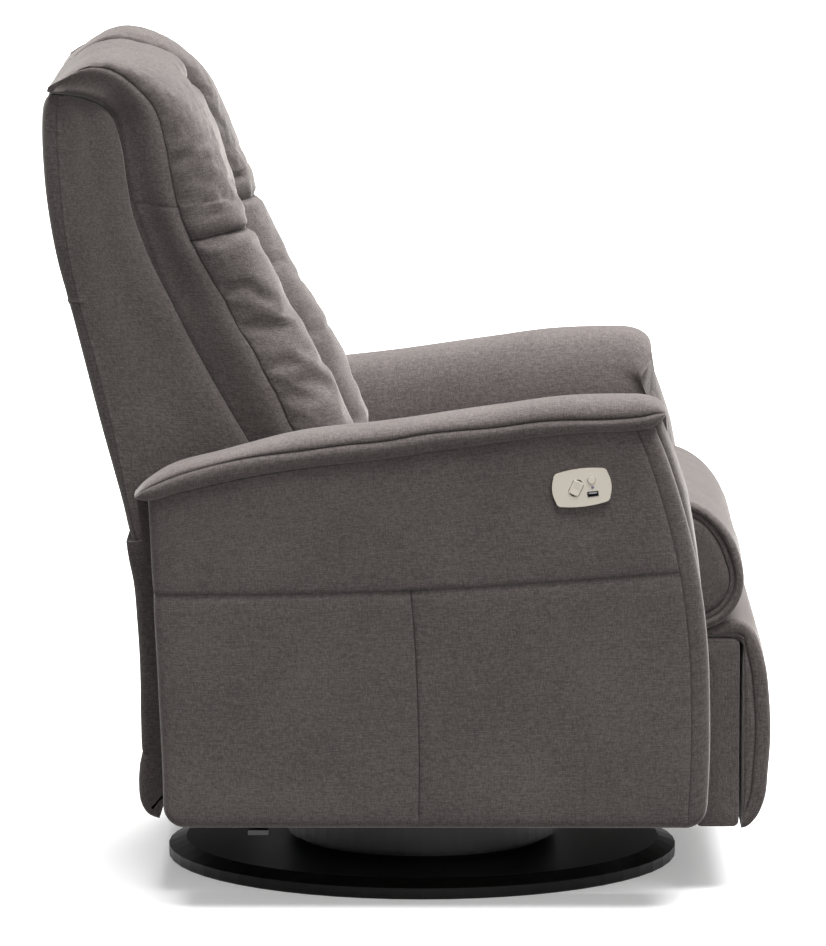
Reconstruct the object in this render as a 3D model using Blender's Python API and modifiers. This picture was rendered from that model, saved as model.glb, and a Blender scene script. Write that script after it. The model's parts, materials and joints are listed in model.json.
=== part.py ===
"""Swivel recliner armchair with a power glide, a tilting back and a folding legrest.

Metres, +Z up.  The origin is on the floor on the swivel axis.  The chair faces -Y, so the
sitter's right arm, which carries the control plate, is at -X.
Every piece hangs from the empty that stands on its body's joint.
"""

from math import atan2, cos, hypot, pi, radians, sin

import bmesh
import bpy
from mathutils import Vector

OBJECT_NAME = "recliner_armchair"
RIGHT, LEFT = -1, 1
SIDES = (("right", RIGHT), ("left", LEFT))
FIT = 0.0003                 # gap between pieces that touch
MERGE = 0.00005              # merge distance of every modifier that merges

# ---- driving dimensions --------------------------------------------------------------------
BASE_R = 0.334
BASE_EDGE_H = 0.0145         # upright part of the rim
BASE_H = 0.024
BASE_BEVEL = 0.023           # width of the sloping part of the rim
RACE_R = 0.162
RACE_TOP = 0.031
TURRET_R = 0.176
TURRET_TOP = 0.096
TURRET_WALL = 0.003
PIN_R = 0.012

ARM_OUT = 0.4145             # |X| of the outer face of an arm
ARM_IN = 0.288               # |X| of the inner face of an arm
PAD_OUT = 0.425              # |X| that an arm pad reaches
BACK_HALF = 0.279            # half width of the back
SEAT_HALF = 0.279            # half width of the seat
LEG_HALF = 0.270             # half width of the legrest

CARRIAGE_IN, CARRIAGE_OUT = 0.238, 0.2617      # |X| of the carriage's side tubes
CARRIAGE_LOW, CARRIAGE_TOP = 0.290, 0.325      # Z of the carriage's side tubes

BACK_PIVOT = (0.235, 0.420)                    # Y, Z
LEG_PIVOT = (-0.276, 0.300)                    # Y, Z of the torque tube
LEG_LINK = 0.170                               # length of both legrest links
LEG_REST = radians(10)                         # lean of both links at rest
APEX = (LEG_PIVOT[0] - LEG_LINK * sin(LEG_REST), LEG_PIVOT[1] - LEG_LINK * cos(LEG_REST))
BOARD_PIVOT = (LEG_PIVOT[0] - 2 * LEG_LINK * sin(LEG_REST), LEG_PIVOT[1])

CRANK_R = 0.060
CRANK_SWING = radians(20)                      # the crank starts this far behind upright
ROD_Z = LEG_PIVOT[1] - CRANK_R * (1 + cos(CRANK_SWING)) / 2
CRANK_TIP = (LEG_PIVOT[0] + CRANK_R * sin(CRANK_SWING), LEG_PIVOT[1] - CRANK_R * cos(CRANK_SWING))
LEG_ACTUATOR_X = -0.080
RECLINE_ACTUATOR_X = 0.080
RECLINE_ACTUATOR_Z = 0.155

PLATE_CENTRE = (-0.202, 0.5425)                # Y, Z of the control plate
PLATE_TURN = radians(7)                        # its front end is raised
PLATE_FACE = -0.4183                           # X of its outer face
PLATE_THICK = 0.0035
ROCKER_CENTRE = (-0.1948, 0.5419)
ROCKER_LEAN = radians(25)
BUTTON_CENTRE = (-0.2142, 0.5524)
BUTTON_R = 0.005
LED_CENTRE = (-0.2154, 0.5427)
LED_R = 0.0015
USB_CENTRE = (-0.2159, 0.5345)
USB_W, USB_H = 0.0137, 0.0065

# ---- outlines, as (Y, Z) -------------------------------------------------------------------
ARM_FRONT = [(-0.362, 0.128), (-0.365, 0.196), (-0.365, 0.258), (-0.362, 0.338), (-0.350, 0.433),
             (-0.329, 0.519), (-0.304, 0.593), (-0.294, 0.608)]
ARM_TOP = [(-0.256, 0.6115), (-0.151, 0.6040), (0.001, 0.5810), (0.147, 0.5620), (0.249, 0.5440),
           (0.300, 0.5320), (0.342, 0.5210)]
ARM_REAR = [(0.338, 0.410), (0.331, 0.271), (0.326, 0.143)]
ARM_BOTTOM_Z = 0.1055
ARM_CORNER = 0.028

PAD_CREST = [(0.352, 0.542), (0.329, 0.559), (0.251, 0.584), (0.148, 0.609), (0.001, 0.628),
             (-0.100, 0.643), (-0.178, 0.653), (-0.257, 0.656), (-0.293, 0.651), (-0.307, 0.641)]
PAD_UNDER = [(0.352, 0.527), (0.329, 0.5285), (0.249, 0.548), (0.147, 0.566), (0.001, 0.585),
             (-0.099, 0.600), (-0.178, 0.6105), (-0.256, 0.6155), (-0.291, 0.6205), (-0.307, 0.631)]

BACK_REAR = [(0.377, 0.468), (0.400, 0.548), (0.419, 0.613), (0.438, 0.690), (0.454, 0.759),
             (0.467, 0.819), (0.480, 0.896), (0.485, 0.960), (0.484, 1.011), (0.481, 1.026)]
BACK_CREASE = [(0.172, 0.488), (0.222, 0.585), (0.269, 0.668), (0.319, 0.764), (0.344, 0.815),
               (0.363, 0.866), (0.372, 0.911), (0.377, 0.955), (0.388, 1.000), (0.402, 1.018)]
# where each wing meets the shell, and the crest opposite
WING_ROOT = [(0.168, 0.494), (0.222, 0.588), (0.267, 0.670), (0.317, 0.766), (0.361, 0.868),
             (0.373, 0.944), (0.383, 0.996), (0.406, 1.026), (0.444, 1.034), (0.472, 1.033)]
WING_CREST = [(0.068, 0.520), (0.112, 0.622), (0.158, 0.712), (0.203, 0.802), (0.243, 0.892),
              (0.266, 0.968), (0.293, 1.032), (0.338, 1.072), (0.406, 1.092), (0.480, 1.062)]


# ---- small geometry ------------------------------------------------------------------------
def arc(centre, radius, start, end, steps):
    """Points on a circle from angle start to end, in degrees."""
    angles = [radians(start + (end - start) * k / steps) for k in range(steps + 1)]
    return [(centre[0] + radius * cos(a), centre[1] + radius * sin(a)) for a in angles]


def circle(centre, radius, steps=20):
    return arc(centre, radius, 0, 360, steps)[:-1]


def slot(start, end, radius, steps=8):
    """Outline with two round ends about start and end."""
    lean = atan2(end[1] - start[1], end[0] - start[0]) * 180 / pi
    return arc(end, radius, lean - 90, lean + 90, steps) + arc(start, radius, lean + 90, lean + 270, steps)


def rectangle(width, height, corner=0.0, steps=4):
    """Rectangle about (0, 0) with rounded corners."""
    if not corner:
        return [(width / 2, -height / 2), (width / 2, height / 2),
                (-width / 2, height / 2), (-width / 2, -height / 2)]
    x, y = width / 2 - corner, height / 2 - corner
    points = []
    for cx, cy, start in ((x, -y, -90), (x, y, 0), (-x, y, 90), (-x, -y, 180)):
        points += arc((cx, cy), corner, start, start + 90, steps)
    return points


def bulged(width, height, bulge_x, bulge_y, corner, steps=6):
    """Rounded rectangle whose four sides swell outward."""
    points = []
    for x, y in rectangle(width, height, corner, 3):
        points.append((x, y))
    out = []
    for k, (x, y) in enumerate(points):
        x2, y2 = points[(k + 1) % len(points)]
        out.append((x, y))
        if hypot(x2 - x, y2 - y) > corner:
            for j in range(1, steps):
                f = j / steps
                lift = 4 * f * (1 - f)
                across = abs(x2 - x) > abs(y2 - y)
                px, py = x + (x2 - x) * f, y + (y2 - y) * f
                out.append((px, py + lift * bulge_y * (1 if y > 0 else -1)) if across
                           else (px + lift * bulge_x * (1 if x > 0 else -1), py))
    return out


def turned_to(points, angle, at=(0.0, 0.0)):
    """Points turned by angle about (0, 0), then moved to at."""
    c, s = cos(angle), sin(angle)
    return [(at[0] + x * c - y * s, at[1] + x * s + y * c) for x, y in points]


def inset(points, distance):
    """Closed counter-clockwise outline moved inward by distance."""
    out = []
    count = len(points)
    for k in range(count):
        a, b, c = Vector(points[k - 1]), Vector(points[k]), Vector(points[(k + 1) % count])
        n1 = Vector((a.y - b.y, b.x - a.x)).normalized()
        n2 = Vector((b.y - c.y, c.x - b.x)).normalized()
        middle = (n1 + n2).normalized()
        out.append(tuple(b + middle * distance / max(0.5, middle.dot(n1))))
    return out


def ccw(points):
    """The same outline, counter-clockwise."""
    area = sum(a[0] * b[1] - b[0] * a[1] for a, b in zip(points, points[1:] + points[:1]))
    return points if area > 0 else points[::-1]


def y_at(line, z):
    """Y of a line of (Y, Z) points, rising in Z, at the height z."""
    for (y1, z1), (y2, z2) in zip(line, line[1:]):
        if z <= z2 or (y2, z2) == line[-1]:
            return y1 + (y2 - y1) * (z - z1) / (z2 - z1)
    return line[-1][0]


# ---- making objects ------------------------------------------------------------------------
FINISHES = {                 # colour, roughness, metallic
    "fabric": ((0.078, 0.066, 0.062), 0.92, 0.0),
    "black_steel": ((0.012, 0.012, 0.012), 0.45, 0.6),
    "black_gloss": ((0.006, 0.006, 0.006), 0.12, 0.0),
    "steel": ((0.42, 0.42, 0.43), 0.38, 1.0),
    "rubber": ((0.02, 0.02, 0.02), 0.85, 0.0),
    "plywood": ((0.50, 0.34, 0.19), 0.65, 0.0),
    "beige_plastic": ((0.58, 0.52, 0.44), 0.42, 0.0),
    "black_plastic": ((0.015, 0.015, 0.016), 0.5, 0.0),
    "blue_lens": ((0.02, 0.04, 0.35), 0.15, 0.0),
}
bodies = {}                  # body name -> empty
pivots = {}                  # body name -> world position of that empty
collections = {}             # "parts" and "cutters"


def start():
    for old in list(bpy.data.objects):
        bpy.data.objects.remove(old, do_unlink=True)
    for key, name in (("parts", OBJECT_NAME), ("cutters", "cutters")):
        collections[key] = bpy.data.collections.new(name)
        bpy.context.scene.collection.children.link(collections[key])


def body(name, position, parent=None):
    """Empty on a joint's axis, which the body's pieces hang from."""
    empty = bpy.data.objects.new(name + "_pivot", None)
    empty.empty_display_size = 0.05
    collections["parts"].objects.link(empty)
    bodies[name] = empty
    pivots[name] = Vector(position)
    empty.location = pivots[name]
    if parent:
        empty.parent = bodies[parent]
        empty.location = pivots[name] - pivots[parent]


def paint(obj, finish):
    colour, roughness, metallic = FINISHES[finish]
    material = bpy.data.materials.new(obj.name + "_" + finish)
    material.use_nodes = True
    shader = material.node_tree.nodes["Principled BSDF"]
    shader.inputs["Base Color"].default_value = (*colour, 1.0)
    shader.inputs["Roughness"].default_value = roughness
    shader.inputs["Metallic"].default_value = metallic
    obj.data.materials.clear()
    obj.data.materials.append(material)


def place(obj, owner, finish):
    """Hang a piece from its body's empty and give it its finish."""
    collections["parts"].objects.link(obj)
    obj.parent = bodies[owner]
    obj.location = obj.location - pivots[owner]
    paint(obj, finish)
    return obj


def smooth(obj, angle=35):
    obj.data.shade_smooth()
    obj.data.set_sharp_from_angle(angle=radians(angle))


def mesh_object(name, bm):
    mesh = bpy.data.meshes.new(name)
    bm.to_mesh(mesh)
    bm.free()
    return bpy.data.objects.new(name, mesh)


def round_edges(obj, width, segments=2):
    bevel = obj.modifiers.new("edges", "BEVEL")
    bevel.width = width
    bevel.segments = segments
    bevel.limit_method = "ANGLE"
    bevel.angle_limit = radians(40)


def block(name, low, high, edge=0.0, segments=1):
    """Box between two corners, its edges rounded by edge."""
    low, high = Vector(low), Vector(high)
    bm = bmesh.new()
    bmesh.ops.create_cube(bm, size=1.0)
    bmesh.ops.scale(bm, vec=high - low, verts=bm.verts)
    obj = mesh_object(name, bm)
    obj.location = (low + high) / 2
    if edge:
        round_edges(obj, edge, segments)
    return obj


def bar(name, begin, end, radius, sides=20):
    """Round bar between two points."""
    begin, end = Vector(begin), Vector(end)
    bm = bmesh.new()
    bmesh.ops.create_cone(bm, cap_ends=True, segments=sides, radius1=radius, radius2=radius,
                          depth=(end - begin).length)
    obj = mesh_object(name, bm)
    obj.rotation_euler = (end - begin).to_track_quat("Z", "Y").to_euler()
    obj.location = (begin + end) / 2
    smooth(obj)
    return obj


def turned(name, profile, steps, at=(0.0, 0.0, 0.0)):
    """Profile of (radius, height) points turned about the vertical through at."""
    bm = bmesh.new()
    points = [bm.verts.new((r, 0.0, z)) for r, z in profile]
    for k, point in enumerate(points[:-1]):
        bm.edges.new((point, points[k + 1]))
    if profile[0][0] > 0 or profile[-1][0] > 0:
        bm.edges.new((points[-1], points[0]))
    obj = mesh_object(name, bm)
    screw = obj.modifiers.new("turn", "SCREW")
    screw.steps = steps
    screw.render_steps = steps
    screw.use_merge_vertices = True
    screw.merge_threshold = MERGE
    screw.use_smooth_shade = True
    obj.location = at
    return obj


ACROSS = (radians(90), 0.0, radians(90))       # outline drawn in (Y, Z), thickness along X
ALONG = (radians(90), 0.0, 0.0)                # outline drawn in (X, Z), thickness along Y
LEVEL = (0.0, 0.0, 0.0)                        # outline drawn in (X, Y), thickness along Z


def plate(name, loops, low, high, facing=ACROSS, edge=0.0, segments=2):
    """Flat piece: the first loop is its outline, the others are holes.

    low and high are where it begins and ends along its thickness.
    """
    curve = bpy.data.curves.new(name, "CURVE")
    curve.dimensions = "2D"
    curve.fill_mode = "BOTH"
    curve.extrude = (high - low) / 2
    for loop in loops:
        spline = curve.splines.new("POLY")
        spline.points.add(len(loop) - 1)
        for point, (x, y) in zip(spline.points, loop):
            point.co = (x, y, 0.0, 1.0)
        spline.use_cyclic_u = True
    obj = bpy.data.objects.new(name, curve)
    obj.rotation_euler = facing
    middle = (low + high) / 2
    obj.location = {ACROSS: (middle, 0, 0), ALONG: (0, middle, 0), LEVEL: (0, 0, middle)}[facing]
    if edge:
        weld = obj.modifiers.new("weld", "WELD")
        weld.merge_threshold = MERGE
        round_edges(obj, edge, segments)
    return obj


def as_mesh(obj):
    """The same piece as a mesh, its loose caps welded, so that it can be cut."""
    collections["cutters"].objects.link(obj)
    bpy.context.view_layer.update()
    graph = bpy.context.evaluated_depsgraph_get()
    mesh = bpy.data.meshes.new_from_object(obj.evaluated_get(graph))
    bm = bmesh.new()
    bm.from_mesh(mesh)
    bmesh.ops.remove_doubles(bm, verts=bm.verts, dist=MERGE)
    bmesh.ops.recalc_face_normals(bm, faces=bm.faces)
    bm.to_mesh(mesh)
    bm.free()
    solid = bpy.data.objects.new(obj.name, mesh)
    solid.matrix_world = obj.matrix_world.copy()
    name = obj.name
    bpy.data.objects.remove(obj, do_unlink=True)
    solid.name = name
    return solid


def combine(obj, other, operation="DIFFERENCE"):
    """Cut one mesh piece with another, or join them; the other stays as a hidden guide."""
    collections["cutters"].objects.link(other)
    other.hide_render = True
    other.display_type = "WIRE"
    boolean = obj.modifiers.new(other.name, "BOOLEAN")
    boolean.operation = operation
    boolean.solver = "EXACT"
    boolean.object = other
    return obj


def pipe(name, points, radius, resolution=2):
    """Round tube that follows points."""
    curve = bpy.data.curves.new(name, "CURVE")
    curve.dimensions = "3D"
    curve.bevel_depth = radius
    curve.bevel_resolution = resolution
    curve.use_fill_caps = True
    spline = curve.splines.new("POLY")
    spline.points.add(len(points) - 1)
    for point, place_at in zip(spline.points, points):
        point.co = (*place_at, 1.0)
    return bpy.data.objects.new(name, curve)


def soft_form(name, rings, levels=1):
    """Closed soft form: a cage skinned over rings of points, then subdivided.

    A second ring close to each end keeps that end full.
    """
    hug = 0.18
    near = [Vector(a).lerp(Vector(b), hug) for a, b in zip(rings[0], rings[1])]
    far = [Vector(a).lerp(Vector(b), hug) for a, b in zip(rings[-1], rings[-2])]
    rings = [rings[0], near, *rings[1:-1], far, rings[-1]]
    bm = bmesh.new()
    loops = [[bm.verts.new(p) for p in ring] for ring in rings]
    count = len(loops[0])
    for near, far in zip(loops, loops[1:]):
        for k in range(count):
            bm.faces.new((near[k], near[(k + 1) % count], far[(k + 1) % count], far[k]))
    bm.faces.new(loops[0][::-1])
    bm.faces.new(loops[-1])
    bmesh.ops.recalc_face_normals(bm, faces=bm.faces)
    obj = mesh_object(name, bm)
    subdivide = obj.modifiers.new("soften", "SUBSURF")
    subdivide.levels = levels
    subdivide.render_levels = levels
    obj.data.shade_smooth()
    return obj


def side_span(side, near, far):
    """X limits of a piece between two distances from the middle plane."""
    return (near, far) if side > 0 else (-far, -near)


# ---- base ----------------------------------------------------------------------------------
BASE_STEPS = 56              # both turned pieces need the same facets
GROOVE_IN, GROOVE_OUT, GROOVE_H = 0.285, 0.315, 0.004
SOCKET_FLOOR = 0.006         # the centre pin's socket ends at this height
RING_R, BALL_R = 0.120, 0.004


def base_disc():
    socket_r = PIN_R + FIT
    profile = [(0.0, SOCKET_FLOOR), (socket_r, SOCKET_FLOOR), (socket_r, BASE_H),
               (BASE_R - BASE_BEVEL, BASE_H), (BASE_R, BASE_EDGE_H),
               (BASE_R, 0.0015), (BASE_R - 0.0015, 0.0), (GROOVE_OUT, 0.0), (GROOVE_OUT, GROOVE_H),
               (GROOVE_IN, GROOVE_H), (GROOVE_IN, 0.0), (0.0, 0.0)]
    place(turned("base_disc", profile, BASE_STEPS), "base", "black_gloss")


def base_glide_ring():
    inner, outer, top = GROOVE_IN + FIT, GROOVE_OUT - FIT, GROOVE_H - FIT
    profile = [(inner, top), (outer, top), (outer, 0.0), (inner, 0.0)]
    place(turned("base_glide_ring", profile, BASE_STEPS), "base", "rubber")


def swivel_bearing():
    low = BASE_H + FIT
    inner = 0.060
    lower = [(inner, RACE_TOP), (RACE_R - 0.002, RACE_TOP), (RACE_R, RACE_TOP - 0.002),
             (RACE_R, low), (inner, low)]
    place(turned("swivel_lower_race", lower, 48), "base", "black_steel")
    ring = arc((RING_R, RACE_TOP + FIT + BALL_R), BALL_R, 90, -270, 6)[:-1]
    place(turned("swivel_ball_ring", ring, 32), "base", "steel")


def swivel_pin():
    """Centre pin with a head that holds the turret down."""
    under_head = TURRET_TOP + 2 * FIT
    profile = [(0.0, under_head + 0.009), (0.020, under_head + 0.009), (0.022, under_head + 0.007),
               (0.022, under_head), (PIN_R, under_head), (PIN_R, SOCKET_FLOOR + FIT),
               (0.0, SOCKET_FLOOR + FIT)]
    place(turned("swivel_pin", profile, 24), "base", "steel")


def swivel_turret():
    """Round housing with the upper race of the bearing inside."""
    hole = PIN_R + 0.001
    low = RACE_TOP + 2 * FIT
    wall = TURRET_R - TURRET_WALL
    roof = TURRET_TOP - TURRET_WALL
    race_low = RACE_TOP + 2 * BALL_R + 2 * FIT
    profile = [(hole, TURRET_TOP), (TURRET_R - 0.006, TURRET_TOP), (TURRET_R - 0.0015, TURRET_TOP - 0.0015),
               (TURRET_R, TURRET_TOP - 0.006), (TURRET_R, low), (wall, low), (wall, roof),
               (RING_R + 0.007, roof), (RING_R + 0.007, race_low), (RING_R - 0.007, race_low),
               (RING_R - 0.007, roof), (hole, roof)]
    place(turned("swivel_turret", profile, 48), "chassis", "black_steel")


# ---- chassis -------------------------------------------------------------------------------
PLATE_LOW = TURRET_TOP + FIT
PLATE_TOP = PLATE_LOW + 0.006
TUBE_LOW = PLATE_TOP + FIT
TUBE_SIZE = 0.030
TUBE_TOP = TUBE_LOW + TUBE_SIZE
CROSS_Y = {"front": -0.175, "rear": 0.206}
ARM_FRAME_IN, ARM_FRAME_OUT = 0.3350, 0.3600


def turret_plate():
    """Plate on the turret, with two ears that reach under the arms at the rear."""
    half, front, rear, reach = 0.150, -0.190, 0.222, 0.402
    ear_front, ear_rear = CROSS_Y["rear"] - 0.013, CROSS_Y["rear"] + 0.013
    right_half = [(half, front), (half, ear_front), (reach, ear_front), (reach, ear_rear), (half, ear_rear),
                  (half, rear)]
    outline = right_half + [(-x, y) for x, y in right_half[::-1]]
    place(plate("turret_plate", [outline, circle((0, 0), 0.030, 24)], PLATE_LOW, PLATE_TOP, LEVEL),
          "chassis", "black_steel")


def frame_crosses():
    for name, y in CROSS_Y.items():
        middle = (y, TUBE_LOW + TUBE_SIZE / 2)
        outer = [(middle[0] + a, middle[1] + b) for a, b in rectangle(TUBE_SIZE, TUBE_SIZE, 0.004, 2)]
        inner = [(middle[0] + a, middle[1] + b) for a, b in rectangle(TUBE_SIZE - 0.004, TUBE_SIZE - 0.004)]
        reach = ARM_FRAME_IN - FIT
        place(plate("frame_cross_" + name, [outer, inner], -reach, reach), "chassis", "black_steel")


RUNNER_LOW, RUNNER_TOP = 0.297, 0.311
RUNNER_OUT = 0.2738
RAIL_PLAY = 0.001
RAIL_WALL = 0.003
RAIL_OUT = 0.2777


def glide_rails():
    """Side plates that stand on the cross tubes and end in a C channel, open towards the middle."""
    web = RAIL_OUT - RAIL_WALL
    lip = CARRIAGE_OUT + 0.0018
    low, high = RUNNER_LOW - RAIL_PLAY, RUNNER_TOP + RAIL_PLAY
    foot = TUBE_TOP + FIT
    section = [(RAIL_OUT, foot), (RAIL_OUT, high + RAIL_WALL), (lip, high + RAIL_WALL), (lip, high),
               (web, high),
               (web, low), (lip, low), (lip, low - RAIL_WALL), (web, low - RAIL_WALL), (web, foot)]
    for name, side in SIDES:
        outline = ccw([(side * x, z) for x, z in section])
        place(plate("glide_rail_" + name, [outline], -0.270, 0.225, ALONG), "chassis", "steel")


def arm_outline(top_drop=0.0):
    """Side outline of an arm below its pad."""
    low = ARM_BOTTOM_Z
    rear = ARM_REAR[-1][0]
    front = ARM_FRONT[0][0]
    points = list(ARM_REAR)
    points += arc((rear - ARM_CORNER, low + ARM_CORNER), ARM_CORNER, 0, -90, 4)
    points += arc((front + 0.018, low + 0.018), 0.018, 270, 180, 3)
    points += ARM_FRONT[1:]
    points += [(y, z - top_drop) for y, z in ARM_TOP]
    return ccw(points)


def arms():
    outline = arm_outline()
    core = inset(outline, 0.014)
    lifted = [(y, max(z, TUBE_TOP + 0.008)) for y, z in inset(outline, 0.0015)]
    lining = [p for k, p in enumerate(lifted) if k == 0 or p != lifted[k - 1]]
    for name, side in SIDES:
        place(plate("arm_frame_" + name, [core], *side_span(side, ARM_FRAME_IN, ARM_FRAME_OUT)),
              "chassis", "plywood")
        outer_span = side_span(side, ARM_FRAME_OUT + FIT, ARM_OUT)
        outer = plate("arm_outer_panel_" + name, [outline], *outer_span, edge=0.006)
        if side == RIGHT:
            outer = as_mesh(outer)
            combine(outer, control_pocket())
        place(outer, "chassis", "fabric")
        place(plate("arm_inner_panel_" + name, [lining], *side_span(side, ARM_IN, ARM_FRAME_IN - FIT),
                    edge=0.006),
              "chassis", "fabric")
        place(arm_pad("arm_pad_" + name, side), "chassis", "fabric")


def arm_pad(name, side):
    """Padded top of an arm: it runs from a thin tail to a round nose."""
    crest_x, inner_x = 0.366, 0.284
    rings = []
    for k, ((y, top), (under_y, under)) in enumerate(zip(PAD_CREST, PAD_UNDER)):
        width = 0.72 if k in (0, len(PAD_CREST) - 1) else 1.0
        middle = (PAD_OUT + inner_x) / 2
        height = top - under
        section = [(PAD_OUT, under + 0.10 * height), (PAD_OUT + 0.002, under + 0.62 * height),
                   (0.404, top - 0.05 * height), (crest_x, top + 0.10 * height),
                   (0.316, top - 0.03 * height), (inner_x - 0.002, under + 0.60 * height),
                   (inner_x, under + 0.05 * height), (0.330, under), (0.385, under)]
        ring = []
        for x, z in section:
            along = y + (under_y - y) * (top - z) / height
            ring.append((side * (middle + (x - middle) * width), along, z))
        rings.append(ring)
    return soft_form(name, rings)


def skirt_line(offset):
    """Rear skirt's section line, moved forward by offset."""
    line = [(0.377, 0.446), (0.369, 0.405), (0.362, 0.350), (0.359, 0.300), (0.358, 0.220), (0.362, 0.165),
            (0.364, 0.140), (0.358, 0.112), (0.340, 0.097)]
    return [(y - offset, z) for y, z in line]


def rear_skirt():
    thick = 0.011
    outer, inner = skirt_line(0.0), skirt_line(thick)
    top = arc((outer[0][0] - thick / 2, outer[0][1]), thick / 2, 180, 0, 4)[1:-1]
    outline = ccw(outer + inner[::-1] + top)
    place(plate("rear_skirt", [outline], -0.284, 0.284, edge=0.003, segments=1), "chassis", "fabric")


# ---- controls ------------------------------------------------------------------------------
def control_pocket():
    outline = turned_to(rectangle(0.064, 0.038, 0.004, 2), -PLATE_TURN, PLATE_CENTRE)
    return as_mesh(plate("control_pocket", [outline], -0.420, -0.3850))


def control_plate():
    outer = turned_to(bulged(0.069, 0.043, 0.003, 0.0025, 0.007), -PLATE_TURN, PLATE_CENTRE)
    rocker = turned_to(bulged(0.0150, 0.0190, 0.0, 0.0020, 0.003, 4), ROCKER_LEAN, ROCKER_CENTRE)
    button = circle(BUTTON_CENTRE, BUTTON_R + 0.0004, 20)
    lamp = circle(LED_CENTRE, LED_R + FIT, 12)
    usb = turned_to(rectangle(USB_W + 2 * FIT, USB_H + 2 * FIT), -PLATE_TURN, USB_CENTRE)
    low = PLATE_FACE
    place(plate("control_plate", [outer, rocker, button, lamp, usb], low, low + PLATE_THICK),
          "chassis", "beige_plastic")


def control_insides():
    place(block("control_housing", (-0.4015, -0.226, 0.5290), (-0.3875, -0.178, 0.5560), 0.001),
          "chassis", "black_plastic")
    lamp = bar("status_led", (PLATE_FACE - 0.0005, *LED_CENTRE), (-0.4110, *LED_CENTRE), LED_R, 12)
    place(lamp, "chassis", "blue_lens")


def usb_socket():
    wall = 0.0006
    face = PLATE_FACE - 0.0004
    back = -0.4020
    shell = turned_to(rectangle(USB_W, USB_H), -PLATE_TURN, USB_CENTRE)
    mouth = turned_to(rectangle(USB_W - 2 * wall, USB_H - 2 * wall), -PLATE_TURN, USB_CENTRE)
    socket = as_mesh(plate("usb_socket", [shell], face, back))
    combine(socket, as_mesh(plate("usb_mouth", [mouth], face - 0.001, back - 0.001)))
    place(socket, "chassis", "black_plastic")


def rocker():
    outline = turned_to(bulged(0.0140, 0.0180, 0.0, 0.0020, 0.003, 4), ROCKER_LEAN, ROCKER_CENTRE)
    key = plate("rocker", [outline], PLATE_FACE - 0.0012, -0.4140, edge=0.0006, segments=1)
    place(key, "rocker", "beige_plastic")


def home_button():
    button = bar("home_button", (PLATE_FACE - 0.0016, *BUTTON_CENTRE),
                 (-0.4140, *BUTTON_CENTRE), BUTTON_R, 24)
    round_edges(button, 0.0005, 1)
    place(button, "home_button", "beige_plastic")


# ---- power ---------------------------------------------------------------------------------
RECLINE_TUBE_R, RECLINE_BORE = 0.022, 0.0115
LEG_TUBE_R, LEG_BORE = 0.020, 0.0105
ROD_PLAY = 0.0015            # between a rod and its tube's bore


def actuator(name, x, z, near, far, radius, bore, motor_x):
    """Actuator tube along Y, open at its front end, with its motor alongside."""
    wall = 0.008
    solid = bar(name, (x, near, z), (x, far, z), radius, 24)
    motor = bar(name + "_motor", (motor_x, far - 0.130, z), (motor_x, far - 0.020, z), radius - FIT, 24)
    combine(solid, motor, "UNION")
    return combine(solid, bar(name + "_bore", (x, near - 0.005, z), (x, far - wall, z), bore, 20))


def recline_actuator():
    x, z = RECLINE_ACTUATOR_X, RECLINE_ACTUATOR_Z
    place(actuator("recline_actuator", x, z, -0.010, 0.250, RECLINE_TUBE_R, RECLINE_BORE, x + 0.040),
          "chassis", "black_plastic")
    front = CROSS_PLATE_Y["front"] + CROSS_PLATE_THICK + FIT
    place(bar("recline_rod", (x, front, z), (x, 0.215, z), RECLINE_BORE - ROD_PLAY), "carriage", "steel")


def power_supply():
    low = (-0.200, 0.140, TUBE_TOP + FIT)
    high = (-0.085, 0.250, TUBE_TOP + 0.038)
    place(block("power_supply", low, high, 0.003), "chassis", "black_plastic")
    bore, outer, deep, floor = 0.0034, 0.0070, 0.012, 0.002
    profile = [(0.0, floor), (bore, floor), (bore, deep), (outer - 0.0008, deep), (outer, deep - 0.0008),
               (outer, 0.0), (0.0, 0.0)]
    inlet = turned("power_inlet", profile, 24, (-0.142, high[1] + FIT, (low[2] + high[2]) / 2))
    inlet.rotation_euler = (radians(-90), 0.0, 0.0)
    place(inlet, "chassis", "black_plastic")


def legrest_actuator():
    x, z = LEG_ACTUATOR_X, ROD_Z
    rear = CROSS_PLATE_Y["rear"] - FIT
    place(actuator("legrest_actuator", x, z, -0.130, rear, LEG_TUBE_R, LEG_BORE, x - 0.036),
          "carriage", "black_plastic")


def legrest_rod():
    """Actuator rod that ends in a slotted eye for the crank's pin."""
    x, z = LEG_ACTUATOR_X, ROD_Z
    tip_y = CRANK_TIP[0]
    eye_half = 0.014
    eye = [(tip_y + a, z + b) for a, b in rectangle(2 * eye_half, 0.034, 0.006, 2)]
    window = slot((tip_y, z - 0.0025), (tip_y, z + 0.0025), CRANK_PIN_R + 0.0012, 6)
    solid = as_mesh(plate("legrest_rod", [eye, window], x - 0.004, x + 0.004))
    shank = bar("legrest_rod_shank", (x, tip_y + eye_half - 0.004, z), (x, 0.040, z), LEG_BORE - ROD_PLAY)
    place(combine(solid, shank, "UNION"), "legrest_rod", "steel")


# ---- seat carriage -------------------------------------------------------------------------
CROSS_PLATE_LOW, CROSS_PLATE_TOP = 0.297, 0.320
CROSS_PLATE_THICK = 0.008
CROSS_PLATE_Y = {"front": -0.2055, "rear": 0.1003}        # front face of each cross plate
SEAT_BOARD_LOW = CARRIAGE_TOP + FIT
SEAT_BOARD_TOP = SEAT_BOARD_LOW + 0.012


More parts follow.
